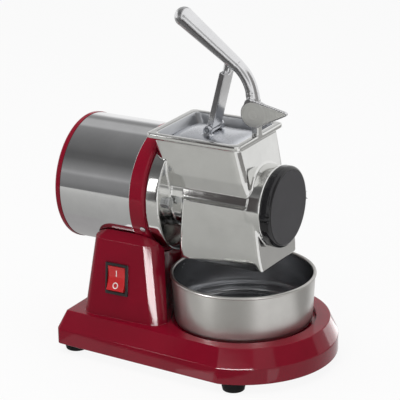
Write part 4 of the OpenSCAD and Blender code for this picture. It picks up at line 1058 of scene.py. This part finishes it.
# Each card has its corners, the name, colour and strength of its light, and the one piece that
# mirrors it. Without a colour it is white and can be seen through; without a piece, all mirror it.
# Flat cards that overlap lie at different heights, so that none hides another
NEAR_FLOOR = [(-1.6, -1.7), (1.2, -1.7), (0.16, -0.12), (-1.6, -0.12)]
CARDS = [
    ("lever_floor", flat(NEAR_FLOOR, 4 * MM), "lever_floor_grey", None, 0.15, "lever_casting"),
    ("base_floor", flat(NEAR_FLOOR, 2 * MM), "base_floor_grey", None, 0.2, "base_body"),
    ("side_patch", flat([(0.0, -0.106), (0.006, -0.1), (0.047, -0.103), (0.034, -0.122)], 3 * MM),
     "side_patch_white", None, 1.3, "base_body"),
    ("front_patch", flat([(0.117, -0.078), (0.128, -0.07), (0.156, -0.074), (0.144, -0.094)],
                         3 * MM), "front_patch_white", None, 1.3, "base_body"),
    ("edge_card", upright((-0.4, -0.56), (-0.285, -0.56), 0.03, 0.09),
     "edge_white", None, 8.0, "base_body"),
    ("end_patch", flat([(0.1, 0.12), (0.15, 0.12), (0.3, 0.3), (0.1, 0.3)], 3 * MM),
     "end_white", None, 2.4, "base_body"),
    ("end_wall", upright((0.1, 0.3), (0.3, 0.3), 3 * MM, 0.06),
     "end_white", None, 2.4, "base_body"),
    ("rear_floor", flat([(-1.6, -0.12), (-0.14, -0.12), (-0.14, 0.5), (-1.6, 0.5)], MM),
     "rear_floor_grey", (1.0, 0.98, 0.97), 0.42, None),
    ("back_floor", flat([(0.16, 0.06), (0.9, 0.06), (0.9, 1.2), (0.16, 1.2)], MM),
     "back_floor_grey", (1.0, 0.99, 0.97), 0.42, None),
    ("right_flag", upright((0.9, -0.4), (0.9, 0.55), 0.12, 1.1),
     "right_grey", (1.0, 0.97, 0.95), 0.28, None),
    ("arm_card", upright((0.08, -0.9), (0.8, -0.9), 0.4, 1.0), "arm_grey", WHITE, 0.36, None),
    ("fold_card", upright((-0.226, -0.41), (-0.1, -0.41), 0.115, 0.4),
     "fold_grey", (1.0, 0.9, 0.9), 0.07, None),
    ("neck_card", upright((-0.27, -0.41), (-0.222, -0.41), 0.22, 0.4),
     "neck_white", None, 3.0, "head_casting"),
    ("bowl_card_left", bowl_bar(-0.15, -0.4), "bowl_white_left", None, 32.0, "steel_bowl"),
    ("bowl_card_right", bowl_bar(0.34, -0.26), "bowl_white_right", None, 4.5, "steel_bowl"),
    ("plate_card", upright((-0.26, -0.45), (-0.06, -0.45), 0.0, 0.24),
     "plate_white", None, 0.22, "plates"),
    ("presser_card", upright((-0.9, 0.6), (0.1, 0.6), 0.35, 0.9),
     "presser_white", None, 0.22, "presser_block"),
    ("low_strip", upright((-0.069, -0.341), (0.209, -0.226), 0.014, 0.09),
     "strip_white", None, 36.0, "base_body"),
]


class GRATER_OT_stage(Operator):
    """Floor, lamps, studio cards and the camera"""
    bl_idname = "grater.stage"
    bl_label = "Stage"

    def execute(self, context):
        scene = context.scene
        stage = scene.grater_stage
        scene.view_settings.view_transform = "Standard"
        studio_world(WORLD_LEVEL)
        bm = bmesh.new()
        bmesh.ops.create_grid(bm, x_segments=4, y_segments=4, size=FLOOR_HALF)
        mesh = new_mesh("floor", bm)
        mesh.materials.append(floor_material(tuple(scene.grater_colours.floor)))
        floor = new_object("floor", mesh)
        lamp("top_lamp", place=(-0.1, -0.1, 1.8), size=1.6, watts=stage.top_lamp)
        lamp("front_lamp", place=(0.2, -1.9, 1.2), size=1.2, watts=stage.front_lamp)
        side_flag()
        self.place_cards(scene)
        self.place_camera(scene, stage)
        return {"FINISHED"}

    def place_cards(self, scene):
        own_floor = ("lever_casting", "base_body", "floor", "side_flag")
        others = [o.name for o in scene.objects if o.type == "MESH" and not o.hide_render
                  and o.name not in own_floor]
        shown_to(card("floor_flag", flat(NEAR_FLOOR, MM),
                      floor_grey((0.98, 0.98, 0.95), near=0.44, far=0.64)), *others)
        for name, corners, light, colour, strength, piece in CARDS:
            material = bpy.data.materials.get(light)
            if material is None and colour:
                material = glow(light, strength, colour)[0]
            elif material is None:
                material = clear_glow(light, strength)
            screen = card(name, corners, material)
            if piece:
                shown_to(screen, piece)

    def place_camera(self, scene, stage):
        az, el, roll = stage.azimuth, stage.elevation, stage.roll
        back = Vector((math.sin(az) * math.cos(el), -math.cos(az) * math.cos(el), math.sin(el)))
        right = Vector((0, 0, 1)).cross(back).normalized()
        up = back.cross(right)
        side = right * math.cos(roll) + up * math.sin(roll)
        head = up * math.cos(roll) - right * math.sin(roll)
        data = bpy.data.cameras.new("camera")
        data.sensor_width = SENSOR_WIDTH
        data.lens = stage.lens
        data.clip_end = CLIP_END
        camera = new_object("camera", data)
        turn = Matrix((side, head, back)).transposed().to_4x4()
        place = Vector(stage.aim) + back * stage.distance
        camera.matrix_world = Matrix.Translation(place) @ turn
        scene.camera = camera


class GRATER_PT_panel(Panel):
    """Lists the pieces of the grater"""
    bl_idname = "GRATER_PT_panel"
    bl_label = "Electric grater"
    bl_space_type = "VIEW_3D"
    bl_region_type = "UI"
    bl_category = "Grater"

    def draw(self, context):
        for operator in OPERATORS:
            self.layout.operator(operator.bl_idname)
        for group_name in ("grater_colours", "grater_sizes", "grater_stage"):
            values = getattr(context.scene, group_name)
            for key in values.__annotations__:
                self.layout.prop(values, key)


OPERATORS = (GRATER_OT_base, GRATER_OT_motor, GRATER_OT_switch, GRATER_OT_head,
             GRATER_OT_roller, GRATER_OT_cap, GRATER_OT_lever, GRATER_OT_presser, GRATER_OT_bowl,
             GRATER_OT_electrics, GRATER_OT_stage)
CLASSES = (GraterColours, GraterSizes, GraterStage, *OPERATORS, GRATER_PT_panel)


def register():
    for cls in CLASSES:
        bpy.utils.register_class(cls)
    bpy.types.Scene.grater_colours = PointerProperty(type=GraterColours)
    bpy.types.Scene.grater_sizes = PointerProperty(type=GraterSizes)
    bpy.types.Scene.grater_stage = PointerProperty(type=GraterStage)


def unregister():
    del bpy.types.Scene.grater_stage
    del bpy.types.Scene.grater_sizes
    del bpy.types.Scene.grater_colours
    for cls in reversed(CLASSES):
        bpy.utils.unregister_class(cls)


def main():
    register()
    bpy.ops.grater.base()
    bpy.ops.grater.motor()
    bpy.ops.grater.switch()
    bpy.ops.grater.head()
    bpy.ops.grater.roller()
    bpy.ops.grater.front_cap()
    bpy.ops.grater.lever()
    bpy.ops.grater.presser()
    bpy.ops.grater.bowl()
    bpy.ops.grater.electrics()
    bpy.ops.grater.stage()


if __name__ == "__main__":
    main()
